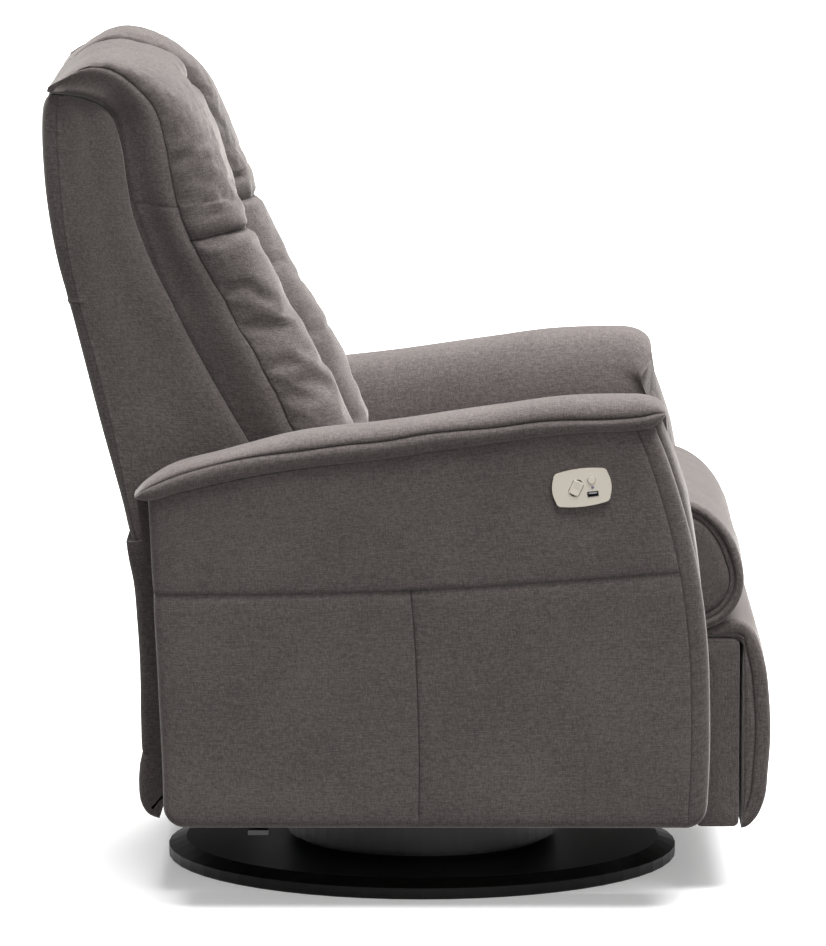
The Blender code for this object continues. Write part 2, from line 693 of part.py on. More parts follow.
def carriage_frame():
    """Side tubes, each with its runner, and cross plates whose tabs hold the actuators."""
    section = [(CARRIAGE_IN, CARRIAGE_LOW), (CARRIAGE_OUT, CARRIAGE_LOW), (CARRIAGE_OUT, RUNNER_LOW),
               (RUNNER_OUT, RUNNER_LOW), (RUNNER_OUT, RUNNER_TOP), (CARRIAGE_OUT, RUNNER_TOP),
               (CARRIAGE_OUT, CARRIAGE_TOP), (CARRIAGE_IN, CARRIAGE_TOP)]
    for name, side in SIDES:
        outline = ccw([(side * x, z) for x, z in section])
        place(plate("carriage_side_" + name, [outline], -0.295, 0.200, ALONG), "carriage", "black_steel")
    reach = CARRIAGE_IN - FIT
    tabs = {"front": (RECLINE_ACTUATOR_X, RECLINE_ACTUATOR_Z - 0.014),
            "rear": (LEG_ACTUATOR_X, ROD_Z - 0.016)}
    for name, (x, foot) in tabs.items():
        outline = [(-reach, CROSS_PLATE_TOP), (-reach, CROSS_PLATE_LOW), (x - 0.014, CROSS_PLATE_LOW),
                   (x - 0.012, foot), (x + 0.012, foot), (x + 0.014, CROSS_PLATE_LOW),
                   (reach, CROSS_PLATE_LOW), (reach, CROSS_PLATE_TOP)]
        near = CROSS_PLATE_Y[name]
        place(plate("carriage_cross_" + name, [outline], near, near + CROSS_PLATE_THICK, ALONG),
              "carriage", "black_steel")


def seat():
    board = [(x, y - 0.105) for x, y in rectangle(2 * 0.258, 0.470, 0.020)]
    place(plate("seat_board", [board], SEAT_BOARD_LOW, SEAT_BOARD_TOP, LEVEL), "carriage", "plywood")
    low = SEAT_BOARD_TOP + FIT
    roll_centre, roll_r = (-0.346, 0.404), 0.066
    outline = [(0.138, low), (-0.330, low)]
    outline += arc(roll_centre, roll_r, 255, 180, 4)
    outline += [(-0.405, 0.440), (-0.387, 0.476), (-0.360, 0.500), (-0.325, 0.511), (-0.200, 0.512),
                (-0.060, 0.500), (0.040, 0.481), (0.110, 0.474), (0.138, 0.455), (0.143, 0.400)]
    place(plate("seat_cushion", [ccw(outline)], -SEAT_HALF, SEAT_HALF, edge=0.014, segments=2),
          "carriage", "fabric")


BRACKET_IN, BRACKET_OUT = CARRIAGE_IN - FIT - 0.006, CARRIAGE_IN - FIT
FRAME_R = 0.0125
FRAME_FOOT_X = BRACKET_OUT + 0.001 + FRAME_R
PIVOT_SHAFT_R = 0.007


def back_brackets():
    y, z = BACK_PIVOT
    outline = arc(BACK_PIVOT, 0.018, -20, 160, 8) + [(0.150, 0.345), (0.140, 0.300), (0.192, 0.300),
                                                     (0.215, 0.345)]
    hole = circle(BACK_PIVOT, PIVOT_SHAFT_R + FIT, 16)
    for name, side in SIDES:
        place(plate("back_bracket_" + name, [ccw(outline), hole], *side_span(side, BRACKET_IN, BRACKET_OUT)),
              "carriage", "black_steel")
    reach = FRAME_FOOT_X + FRAME_R + 0.002
    place(bar("back_pivot_shaft", (-reach, y, z), (reach, y, z), PIVOT_SHAFT_R, 16), "carriage", "steel")


# ---- back ----------------------------------------------------------------------------------
def back_frame():
    """One tube bent into an upside-down U; it hangs on the pivot shaft by its two feet."""
    x = 0.236
    foot, knee, head = Vector((0.270, 0.486)), Vector((0.414, 0.880)), Vector((0.432, 0.985))
    bend = 0.060
    y, z = BACK_PIVOT
    half = [(FRAME_FOOT_X, y - 0.007, z - 0.020), (FRAME_FOOT_X, y, z), (FRAME_FOOT_X, y + 0.010, z + 0.026),
            (x, foot.x, foot.y), (x, *foot.lerp(knee, 0.5)), (x, *knee), (x, *knee.lerp(head, 0.4))]
    for a in (0, 30, 60, 90):
        down = bend * (1 - sin(radians(a)))
        half.append((x - bend * (1 - cos(radians(a))), head.x - 0.17 * down, head.y - down))
    other = [(-px, py, pz) for px, py, pz in half[::-1]]
    frame = as_mesh(pipe("back_frame", half + other, FRAME_R))
    reach = FRAME_FOOT_X + 2 * FRAME_R
    combine(frame, bar("pivot_bore", (-reach, y, z), (reach, y, z), PIVOT_SHAFT_R + 0.001, 16))
    place(frame, "back", "black_steel")


def crease_line(offset, first, last):
    """The back's front line moved to the rear by offset."""
    return [(y + offset, z) for y, z in BACK_CREASE[first:last]]


def back_board():
    near, far = crease_line(0.006, 0, 8), crease_line(0.016, 0, 8)
    place(plate("back_board", [ccw(near + far[::-1])], -0.250, 0.250), "back", "plywood")


def back_shell():
    """Tray that wraps the rear and the sides of the back, open to the front."""
    wall, corner = 0.020, 0.034
    heights = [0.468, 0.500, 0.550, 0.613, 0.690, 0.759, 0.819, 0.870, 0.915, 0.960, 0.995, 1.016]
    bm = bmesh.new()
    rows = []
    for z in heights:
        rear = y_at(BACK_REAR, z)
        front = y_at(BACK_CREASE, max(z, BACK_CREASE[0][1])) + (0.004 if z > 0.48 else 0.010)
        half = [(BACK_HALF, front), (BACK_HALF, (front + rear) / 2)]
        half += arc((BACK_HALF - corner, rear - corner), corner, 0, 90, 4)
        half += [(0.120, rear + 0.002)]
        line = half + [(0.0, rear + 0.003)] + [(-x, y) for x, y in half[::-1]]
        rows.append([bm.verts.new((x, y, z)) for x, y in line])
    for low, high in zip(rows, rows[1:]):
        for k in range(len(low) - 1):
            bm.faces.new((low[k], low[k + 1], high[k + 1], high[k]))
    obj = mesh_object("back_shell", bm)
    obj.data.shade_smooth()
    thicken = obj.modifiers.new("wall", "SOLIDIFY")
    thicken.thickness = wall
    thicken.offset = -1.0
    place(obj, "back", "fabric")


def wing(name, side):
    """Padded side of the backrest, from the seat up and over the top edge."""
    rings = []
    for k, ((root_y, root_z), (crest_y, crest_z)) in enumerate(zip(WING_ROOT, WING_CREST)):
        deep = 1.0 if k < len(WING_ROOT) - 1 else 0.9
        section = [(0.279, 0.0), (0.282, 0.45), (0.268, 0.85), (0.222, 1.03), (0.168, 0.92), (0.126, 0.68),
                   (0.126, 0.0)]
        rings.append([(side * x, root_y + (crest_y - root_y) * t * deep,
                       root_z + (crest_z - root_z) * t * deep)
                      for x, t in section])
    return soft_form(name, rings)


def wings():
    for name, side in SIDES:
        place(wing("wing_" + name, side), "back", "fabric")


def centre_cushion(name, first, last, depth):
    """Middle pad of the backrest between two stations of the wings."""
    rings = []
    stations = [(Vector(root), Vector(crest)) for root, crest in zip(WING_ROOT, WING_CREST)][first:last]
    if first:
        (root, crest), (next_root, next_crest) = stations[:2]
        stations[0] = (root.lerp(next_root, 0.04), crest.lerp(next_crest, 0.04))
    for (root_y, root_z), (crest_y, crest_z) in stations:
        front = (root_y + (crest_y - root_y) * depth, root_z + (crest_z - root_z) * depth)
        near = (root_y + (crest_y - root_y) * 0.02, root_z + (crest_z - root_z) * 0.02)
        ring = [(x, *near) for x in (0.121, 0.0, -0.121)]
        ring += [(-0.121, *Vector(near).lerp(Vector(front), 0.85)), (-0.060, *front), (0.060, *front),
                 (0.121, *Vector(near).lerp(Vector(front), 0.85))]
        rings.append(ring)
    return soft_form(name, rings)


def centre_cushions():
    place(centre_cushion("lumbar_cushion", 0, 5, 0.78), "back", "fabric")
    place(centre_cushion("head_cushion", 4, 10, 0.86), "back", "fabric")


# ---- legrest -------------------------------------------------------------------------------
DRIVE_IN, DRIVE_OUT = 0.2165, 0.2220
LIFT_IN, LIFT_OUT = 0.2240, 0.2295
LEG_BRACKET_IN, LEG_BRACKET_OUT = 0.2315, 0.2365
TORQUE_R = 0.011
SHAFT_R = 0.006
CRANK_PIN_R = 0.005


def drive_links():
    y, z = LEG_PIVOT
    reach = CARRIAGE_IN - FIT
    place(bar("torque_tube", (-reach, y, z), (reach, y, z), TORQUE_R, 24), "legrest_drive", "steel")
    outline = slot(LEG_PIVOT, APEX, 0.017)
    holes = [circle(LEG_PIVOT, TORQUE_R + FIT, 24), circle(APEX, SHAFT_R + 0.001)]
    for name, side in SIDES:
        place(plate("drive_link_" + name, [outline, *holes], *side_span(side, DRIVE_IN, DRIVE_OUT)),
              "legrest_drive", "black_steel")
    x = LEG_ACTUATOR_X
    crank = as_mesh(plate("crank", [slot(LEG_PIVOT, CRANK_TIP, 0.017), holes[0]], x + 0.0100, x + 0.0150))
    pin = bar("crank_pin", (x - 0.007, *CRANK_TIP), (x + 0.0125, *CRANK_TIP), CRANK_PIN_R)
    place(combine(crank, pin, "UNION"), "legrest_drive", "black_steel")


def lift_links():
    reach = LIFT_OUT + 0.002
    place(bar("lift_shaft", (-reach, *APEX), (reach, *APEX), SHAFT_R), "legrest_lift", "steel")
    outline = slot(APEX, BOARD_PIVOT, 0.012)
    holes = [circle(APEX, SHAFT_R + FIT), circle(BOARD_PIVOT, SHAFT_R + 0.001)]
    for name, side in SIDES:
        place(plate("lift_link_" + name, [outline, *holes], *side_span(side, LIFT_IN, LIFT_OUT)),
              "legrest_lift", "black_steel")


BLOCK_REAR, BLOCK_FRONT = -0.3520, -0.4060
PAD_REAR = -0.4068


def legrest():
    reach = LEG_BRACKET_OUT + 0.001
    place(bar("board_shaft", (-reach, *BOARD_PIVOT), (reach, *BOARD_PIVOT), SHAFT_R), "legrest", "steel")
    y, z = BOARD_PIVOT
    rear = BLOCK_REAR + FIT
    outline = arc(BOARD_PIVOT, 0.012, -60, 60, 6) + [(rear, z + 0.018), (rear, z - 0.110),
                                                     (rear + 0.006, z - 0.110)]
    hole = circle(BOARD_PIVOT, SHAFT_R + FIT)
    for name, side in SIDES:
        place(plate("legrest_bracket_" + name, [ccw(outline), hole],
                    *side_span(side, LEG_BRACKET_IN, LEG_BRACKET_OUT)),
              "legrest", "black_steel")
    place(block("legrest_block", (-0.268, BLOCK_FRONT, 0.083), (0.268, BLOCK_REAR, 0.333), 0.006, 2),
          "legrest", "fabric")
    pad = [(PAD_REAR, 0.079), (-0.430, 0.093), (-0.442, 0.118), (-0.450, 0.160), (-0.452, 0.209),
           (-0.449, 0.260),
           (-0.442, 0.302), (-0.432, 0.326), (-0.418, 0.337), (PAD_REAR, 0.340)]
    place(plate("legrest_pad", [ccw(pad)], -LEG_HALF, LEG_HALF, edge=0.007), "legrest", "fabric")


# ---- the whole chair -----------------------------------------------------------------------
def build():
    start()
    body("base", (0, 0, 0))
    body("chassis", (0, 0, RACE_TOP), "base")
    body("carriage", (0, 0, RUNNER_LOW), "chassis")
    body("back", (0, *BACK_PIVOT), "carriage")
    body("legrest_drive", (0, *LEG_PIVOT), "carriage")
    body("legrest_lift", (0, *APEX), "legrest_drive")
    body("legrest", (0, *BOARD_PIVOT), "legrest_lift")
    body("legrest_rod", (LEG_ACTUATOR_X, CRANK_TIP[0], ROD_Z), "carriage")
    body("rocker", (-0.4155, *ROCKER_CENTRE), "chassis")
    body("home_button", (-0.4155, *BUTTON_CENTRE), "chassis")
    base_disc()
    base_glide_ring()
    swivel_bearing()
    swivel_pin()
    swivel_turret()
    turret_plate()
    frame_crosses()
    glide_rails()
    arms()
    rear_skirt()
    control_plate()
    control_insides()
    usb_socket()
    rocker()
    home_button()
    recline_actuator()
    power_supply()
    legrest_actuator()
    legrest_rod()
    carriage_frame()
    seat()
    back_brackets()
    back_frame()
    back_board()
    back_shell()
    wings()
    centre_cushions()
    drive_links()
    lift_links()
    legrest()


build()
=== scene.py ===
"""The looks of a powered recliner armchair: upholstery, stitching, finishes, light and camera."""
import json
import math

import bmesh
import bpy
import numpy as np
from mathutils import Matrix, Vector, noise


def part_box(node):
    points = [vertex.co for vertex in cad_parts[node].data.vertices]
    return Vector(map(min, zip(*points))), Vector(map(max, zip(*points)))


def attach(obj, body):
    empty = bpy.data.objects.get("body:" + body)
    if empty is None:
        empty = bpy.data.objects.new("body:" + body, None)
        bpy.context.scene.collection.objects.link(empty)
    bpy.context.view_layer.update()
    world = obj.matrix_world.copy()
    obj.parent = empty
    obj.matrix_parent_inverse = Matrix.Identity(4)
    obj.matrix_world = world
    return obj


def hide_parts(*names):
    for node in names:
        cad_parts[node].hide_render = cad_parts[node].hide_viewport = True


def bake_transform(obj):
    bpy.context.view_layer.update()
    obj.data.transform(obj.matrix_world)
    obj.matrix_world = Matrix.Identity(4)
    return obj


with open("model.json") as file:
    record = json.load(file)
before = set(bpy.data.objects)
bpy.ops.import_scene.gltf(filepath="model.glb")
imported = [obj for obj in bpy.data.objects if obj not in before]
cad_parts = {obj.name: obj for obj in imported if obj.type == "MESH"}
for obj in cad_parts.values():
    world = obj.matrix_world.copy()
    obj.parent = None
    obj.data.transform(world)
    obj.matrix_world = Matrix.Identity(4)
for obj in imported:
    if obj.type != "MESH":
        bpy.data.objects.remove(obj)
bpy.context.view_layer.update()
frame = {"nodes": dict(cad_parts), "record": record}
scene = bpy.context.scene

RIGHT, LEFT = -1, 1          # the signs of X on the chair's two sides
STEP = 0.007                 # m, the usual size of a mesh cell
SEAM_CELLS = (-0.009, -0.0045, -0.0016, 0.0, 0.0016, 0.0045, 0.009)   # m, mesh lines beside a seam
SEAM_WIDTH = 0.0017          # m, half the width of a seam's groove
SEAM_DEPTH = 0.0019          # m, how deep its groove is
STITCH_WIDTH = 0.0009        # m, half the width of its dark line
PULL_WIDTH = 0.014           # m, how far from a seam the padding is drawn in
CLOTH_FRAMES = 20            # length of the cloth simulation

# Driving sizes, read from the frame
arm_lo, arm_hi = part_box("arm_outer_panel_left")
inner_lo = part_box("arm_inner_panel_left")[0]
block_lo, block_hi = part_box("legrest_block")
plate_lo, plate_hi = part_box("control_plate")
ARM_OUT = arm_hi.x           # half width over the arms' side panels
ARM_IN = inner_lo.x + 0.0005  # the arms' inner faces
PAD_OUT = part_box("arm_pad_left")[1].x
BACK_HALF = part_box("back_shell")[1].x
WING_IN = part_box("wing_left")[0].x
SKIRT_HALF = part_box("rear_skirt")[1].x
SEAT_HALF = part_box("seat_cushion")[1].x
LEG_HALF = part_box("legrest_pad")[1].x


# ---------------------------------------------------------------- curves and grids

def run_along(points):
    """The running length of a line at each of its points."""
    return np.concatenate(([0.0], np.cumsum(np.linalg.norm(np.diff(points, axis=0), axis=1))))


def sampled(places, run, line):
    """The line's points at places along its running length."""
    return np.stack([np.interp(places, run, line[:, c]) for c in range(line.shape[1])], axis=1)


def hermite(t, span, first, second, slope_first, slope_second):
    """A cubic between two points a span apart, with the given slopes; t is the share of the span."""
    return ((2 * t ** 3 - 3 * t ** 2 + 1) * first + (t ** 3 - 2 * t ** 2 + t) * span * slope_first
            + (3 * t ** 2 - 2 * t ** 3) * second + (t ** 3 - t ** 2) * span * slope_second)


def spline(points):
    """A smooth curve through the points, as a function of the share of its length."""
    knots = np.array(points, float)
    run = run_along(knots)
    run /= run[-1]
    slope = np.gradient(knots, run, axis=0)

    def at(share):
        share = np.clip(np.asarray(share, float), 0.0, 1.0)
        k = np.clip(np.searchsorted(run, share, side="right") - 1, 0, len(run) - 2)
        span = (run[k + 1] - run[k])[..., None]
        t = (share - run[k])[..., None] / span
        return hermite(t, span, knots[k], knots[k + 1], slope[k], slope[k + 1])
    return at


def matched(rows):
    """Several curves given side by side, as a function of the row number."""
    table = np.array(rows, float)
    slope = np.gradient(table, axis=0)

    def at(row):
        row = np.clip(np.asarray(row, float), 0.0, len(table) - 1.0)
        k = np.minimum(row.astype(int), len(table) - 2)
        return hermite((row - k)[..., None], 1.0, table[k], table[k + 1], slope[k], slope[k + 1])
    return at


def between(knots, run, places):
    """Rings of points through rings of knots, and the knot number of each point."""
    slope = np.gradient(knots, run, axis=1)
    k = np.clip(np.searchsorted(run, places, side="right") - 1, 0, len(run) - 2)
    span = run[k + 1] - run[k]
    share = (places - run[k]) / span
    grid = hermite(share[None, :, None], span[None, :, None], knots[:, k], knots[:, k + 1],
                   slope[:, k], slope[:, k + 1])
    return grid, k + share


def through(knots, *seams, step=0.0062):
    """A grid of rings through rings of knots, its columns at the seams, and each column's knot number."""
    chord = np.linalg.norm(np.diff(knots, axis=1), axis=2).mean(axis=0)
    run = np.concatenate(([0.0], np.cumsum(chord)))
    places = stations(run[-1], [run[s] for s in seams], step=step)
    grid, columns = between(knots, run, places)
    return (grid, *[nearest(places, run[s]) for s in seams], columns)


def row_stations(at, last):
    """Row numbers about one cell apart along the outline in a table's last two columns."""
    rows = []
    for k in range(last):
        a, b = at(np.array([k, k + 1.0]))
        count = max(2, int(round(np.linalg.norm(b[4:] - a[4:]) / STEP)))
        rows.extend(k + np.arange(count) / count)
    return rows + [float(last)]


def reading(points, across=1, along=0):
    """The curve's value across, as a function of its value along."""
    line = spline(points)(np.linspace(0, 1, 240))
    order = np.argsort(line[:, along])
    return lambda value: np.interp(value, line[order, along], line[order, across])


def stations(length, seams=(), step=STEP):
    """Places along a length: a regular grid, closer together beside each seam."""
    fine = sorted({round(s + d, 6) for s in seams for d in SEAM_CELLS if -1e-6 <= s + d <= length + 1e-6})
    regular = np.linspace(0, length, max(3, int(round(length / step)) + 1))
    kept = [p for p in regular if all(abs(p - f) > 0.5 * step for f in fine) or p in (0.0, length)]
    return np.array(sorted(set(kept) | set(fine)))


def closed_ring(grid):
    """The grid with its first column repeated at its end."""
    return np.concatenate((grid, grid[:, :1]), axis=1)


def falloff(away, width):
    """1 at no distance, and a smooth fall to nothing past a width."""
    return np.exp(-(away / width) ** 2)


def ramp_up(value, start, length):
    """0 up to the start, and 1 past the start plus the length."""
    return np.clip((value - start) / length, 0, 1)


def normals_of(grid):
    """The unit normal at each point of a grid."""
    du = np.gradient(grid, axis=0)
    dv = np.gradient(grid, axis=1)
    n = np.cross(du, dv)
    return n / np.maximum(np.linalg.norm(n, axis=2, keepdims=True), 1e-12)


def lengths(grid, axis):
    """The mean running length along one axis of a grid."""
    steps = np.linalg.norm(np.diff(grid, axis=axis), axis=2)
    mean = steps.max(axis=1 - axis) * 0.5 + steps.mean(axis=1 - axis) * 0.5
    return np.concatenate(([0.0], np.cumsum(mean)))


def running(grid, axis):
    """Each point's own running length along one axis of a grid."""
    steps = np.linalg.norm(np.diff(grid, axis=axis), axis=2)
    zero = np.zeros_like(np.take(steps, [0], axis=axis))
    return np.cumsum(np.concatenate((zero, steps), axis=axis), axis=axis)


class Patch:
    """A grid of points with its outward normals and, at each point, how much stitching and painted crease
    shade shows.
    """

    def __init__(self, grid, outward, turn=False):
        self.grid = np.array(grid, float)
        # seam holds the dark stitch lines, and also painted shade in the creases between covers
        self.seam = np.zeros(self.grid.shape[:2])
        self.turn = turn
        n = normals_of(self.grid)
        side = np.sum(n * np.asarray(outward, float), axis=2)
        self.flip = -1.0 if np.sum(side) < 0 else 1.0

    def normals(self):
        return normals_of(self.grid) * self.flip

    def face(self, place, direction):
        """Turns the normals so that the one at a grid place looks along a direction."""
        self.flip = 1.0
        self.flip = 1.0 if float(self.normals()[place] @ np.array(direction, float)) > 0 else -1.0

    def push(self, height):
        """Moves each point out along its normal."""
        self.grid = self.grid + self.normals() * np.asarray(height)[..., None]

    def sew(self, axis, index, mask=None, pull=0.0025, depth=SEAM_DEPTH, width=PULL_WIDTH, show=1.0):
        """Presses a seam in along one grid line, and draws the padding in beside it."""
        run = running(self.grid, axis)
        away = np.abs(run - np.take(run, [index], axis=axis))
        mask = np.ones(away.shape) if mask is None else np.broadcast_to(mask, away.shape)
        self.push(-(depth * falloff(away, SEAM_WIDTH) + pull * falloff(away, width)) * mask)
        self.seam = np.maximum(self.seam, falloff(away, STITCH_WIDTH) * mask * show)

    def wrinkle(self, size, along, across, mask=1.0, slant=0.0, seed=0.0):
        """Soft folds: noise of one wavelength along the grid's first axis and another across it."""
        u, v = running(self.grid, 0), running(self.grid, 1)
        height = np.zeros(u.shape)
        for i in range(u.shape[0]):
            for j in range(u.shape[1]):
                height[i, j] = noise.noise(Vector(((u[i, j] + slant * v[i, j]) / along,
                                                   v[i, j] / across, seed)))
        self.push(size * height * mask)


def thinned(run, kept):
    """Indices along a grid line about one cell apart, always with the kept ones."""
    chosen = [0]
    for i in range(1, len(run)):
        ahead = [run[k] - run[i] for k in kept if k > i]
        if i in kept or i == len(run) - 1:
            chosen.append(i)
        elif run[i] - run[chosen[-1]] >= 0.75 * STEP and min(ahead, default=1.0) >= 0.6 * STEP:
            chosen.append(i)
    return np.array(chosen)


def inflate(patch, hold, cap, rows_kept=(), cols_kept=(), slack=0.05, pressure=4.0):
    """Blows a closed cover up as cloth, held where hold is 1, with slack so that it puckers at its seams.
    cap is the farthest that each row of points may move."""
    run_r, run_c = lengths(patch.grid, 0), lengths(patch.grid, 1)
    r, c = thinned(run_r, set(rows_kept)), thinned(run_c, set(cols_kept))[:-1]
    start = patch.grid[np.ix_(r, c)]
    rows, cols = len(r), len(c)
    faces = []
    for i in range(rows - 1):
        for j in range(cols):
            k = (j + 1) % cols
            face = [i * cols + j, (i + 1) * cols + j, (i + 1) * cols + k, i * cols + k]
            faces.append(face if patch.flip > 0 else face[::-1])
    me = bpy.data.meshes.new("cloth_trial")
    me.from_pydata(start.reshape(-1, 3).tolist(), [], faces)
    ob = bpy.data.objects.new("cloth_trial", me)
    scene.collection.objects.link(ob)
    pins = ob.vertex_groups.new(name="held")
    weights = np.clip(hold, 0, 1)[np.ix_(r, c)].ravel()
    for level in range(1, 11):
        inside = [int(v) for v in np.flatnonzero(np.round(weights * 10) == level)]
        if inside:
            pins.add(inside, level / 10.0, "REPLACE")
    cloth = ob.modifiers.new("cloth", "CLOTH")
    settings = cloth.settings
    settings.quality = 6
    settings.mass = 0.25
    settings.tension_stiffness = 20.0
    settings.compression_stiffness = 20.0
    settings.shear_stiffness = 8.0
    settings.bending_stiffness = 0.8
    settings.vertex_group_mass = "held"
    settings.use_pressure = True
    settings.uniform_pressure_force = pressure
    settings.shrink_min = -slack
    settings.effector_weights.gravity = 0.0
    cloth.collision_settings.use_collision = False
    for frame_number in range(1, CLOTH_FRAMES + 1):
        scene.frame_set(frame_number)
    solved = ob.evaluated_get(bpy.context.evaluated_depsgraph_get()).to_mesh()
    moved = np.zeros(len(solved.vertices) * 3)
    solved.vertices.foreach_get("co", moved)
    shift = moved.reshape(rows, cols, 3) - start
    size = np.linalg.norm(shift, axis=2, keepdims=True)
    most = np.broadcast_to(cap, (len(run_r),))[r][:, None, None]
    # moves are eased into the cap, so that they don't end in a flat step
    shift *= most * np.tanh(size / most) / np.maximum(size, 1e-9)
    shift = np.concatenate((shift, shift[:, :1]), axis=1)
    bpy.data.objects.remove(ob)
    scene.frame_set(1)
    at_c = np.append(run_c[c], run_c[-1])
    wide = np.zeros((len(run_r), cols + 1, 3))
    full = np.zeros(patch.grid.shape)
    for axis in range(3):
        for j in range(cols + 1):
            wide[:, j, axis] = np.interp(run_r, run_r[r], shift[:, j, axis])
        for i in range(len(run_r)):
            full[i, :, axis] = np.interp(run_c, at_c, wide[i, :, axis])
    patch.grid = patch.grid + full


def nearest(values, wanted):
    """The index of the value closest to the wanted one."""
    return int(np.argmin(np.abs(np.asarray(values) - wanted)))


def piece_from(name, patches, material, closed=True):
    """One mesh from its patches: joined where they meet, holes filled, with cloth coordinates in metres."""
    verts, faces, cloth, seam = [], [], [], []
    for patch in patches:
        rows, cols = patch.grid.shape[:2]
        first = len(verts)
        verts.extend(patch.grid.reshape(-1, 3).tolist())
        seam.extend(patch.seam.reshape(-1).tolist())
        u, v = lengths(patch.grid, 0), lengths(patch.grid, 1)
        if patch.turn:
            coordinates = [(v[j], u[i]) for i in range(rows) for j in range(cols)]
        else:
            coordinates = [(u[i], v[j]) for i in range(rows) for j in range(cols)]
        for i in range(rows - 1):
            for j in range(cols - 1):
                corners = (i * cols + j, (i + 1) * cols + j, (i + 1) * cols + j + 1, i * cols + j + 1)
                faces.append([first + c for c in corners])
                cloth.extend(coordinates[c] for c in corners)
    me = bpy.data.meshes.new(name)
    me.from_pydata(verts, [], faces)
    layer = me.uv_layers.new(name="cloth")
    layer.data.foreach_set("uv", np.array(cloth, np.float32).ravel())
    # the seam attribute carries the stitch lines and the painted crease shade to the material
    me.attributes.new("seam", "FLOAT", "POINT").data.foreach_set("value", np.array(seam, np.float32))
    bm = bmesh.new()
    bm.from_mesh(me)
    bmesh.ops.remove_doubles(bm, verts=bm.verts, dist=2e-5)
    bmesh.ops.dissolve_degenerate(bm, edges=bm.edges, dist=1e-6)
    if closed:
        bmesh.ops.holes_fill(bm, edges=[e for e in bm.edges if e.is_boundary], sides=0)
        bmesh.ops.triangulate(bm, faces=[f for f in bm.faces if len(f.verts) > 4])
    bmesh.ops.recalc_face_normals(bm, faces=bm.faces)
    bm.to_mesh(me)
    bm.free()
    me.shade_smooth()
    me.set_sharp_from_angle(angle=math.radians(70))
    ob = bpy.data.objects.new(name, me)
    scene.collection.objects.link(ob)
    me.materials.append(material)
    return ob


def mirrored(side, grid):
    """The grid on the chair's right or left; grids are drawn for positive X."""
    return np.asarray(grid) * np.array([side, 1.0, 1.0])


def soft(ob, body, replaced):
    """Hangs a padded piece on the body it rides on, and hides the CAD nodes it stands for."""
    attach(ob, body)
    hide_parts(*replaced)


# ---------------------------------------------------------------- materials

SHEEN_WEIGHT = 0.45
SHEEN_ROUGHNESS = 0.42


def new_material(name):
    mat = bpy.data.materials.new(name)
    mat.use_nodes = True
    tree = mat.node_tree
    shader = tree.nodes["Principled BSDF"]
    return mat, tree, shader


def node(tree, kind, **settings):
    """A shader node with its properties and input values set."""
    made = tree.nodes.new(kind)
    for key, value in settings.items():
        if key in made.inputs:
            made.inputs[key].default_value = value
        else:
            setattr(made, key, value)
    return made


def math_node(tree, operation, a, b):
    made = tree.nodes.new("ShaderNodeMath")
    made.operation = operation
    for socket, value in zip(made.inputs, (a, b)):
        if isinstance(value, (int, float)):
            socket.default_value = value
        else:
            tree.links.new(value, socket)
    return made.outputs[0]


def streaks(tree, source, scale, seed, detail=2.0):
    """Noise on cloth coordinates stretched by scale: long thin streaks of yarn."""
    stretch = node(tree, "ShaderNodeMapping")
    stretch.inputs["Scale"].default_value = scale
    stretch.inputs["Location"].default_value = (seed, seed * 0.37, seed)
    grain = node(tree, "ShaderNodeTexNoise", Scale=1.0, Detail=detail, Roughness=0.6)
    tree.links.new(source, stretch.inputs["Vector"])
    tree.links.new(stretch.outputs["Vector"], grain.inputs["Vector"])
    return grain.outputs["Fac"]


def colour_ramp(tree, source, *stops):
    """A ramp between two colours at two places."""
    ramp = node(tree, "ShaderNodeValToRGB")
    for element, (position, colour) in zip(ramp.color_ramp.elements, stops):
        element.position = position
        element.color = (*colour, 1.0)
    tree.links.new(source, ramp.inputs["Fac"])
    return ramp


def bump_node(tree, shader, source, strength, distance):
    """Turns a height into the shader's normal."""
    bump = node(tree, "ShaderNodeBump", Strength=strength, Distance=distance)
    tree.links.new(source, bump.inputs["Height"])
    tree.links.new(bump.outputs["Normal"], shader.inputs["Normal"])


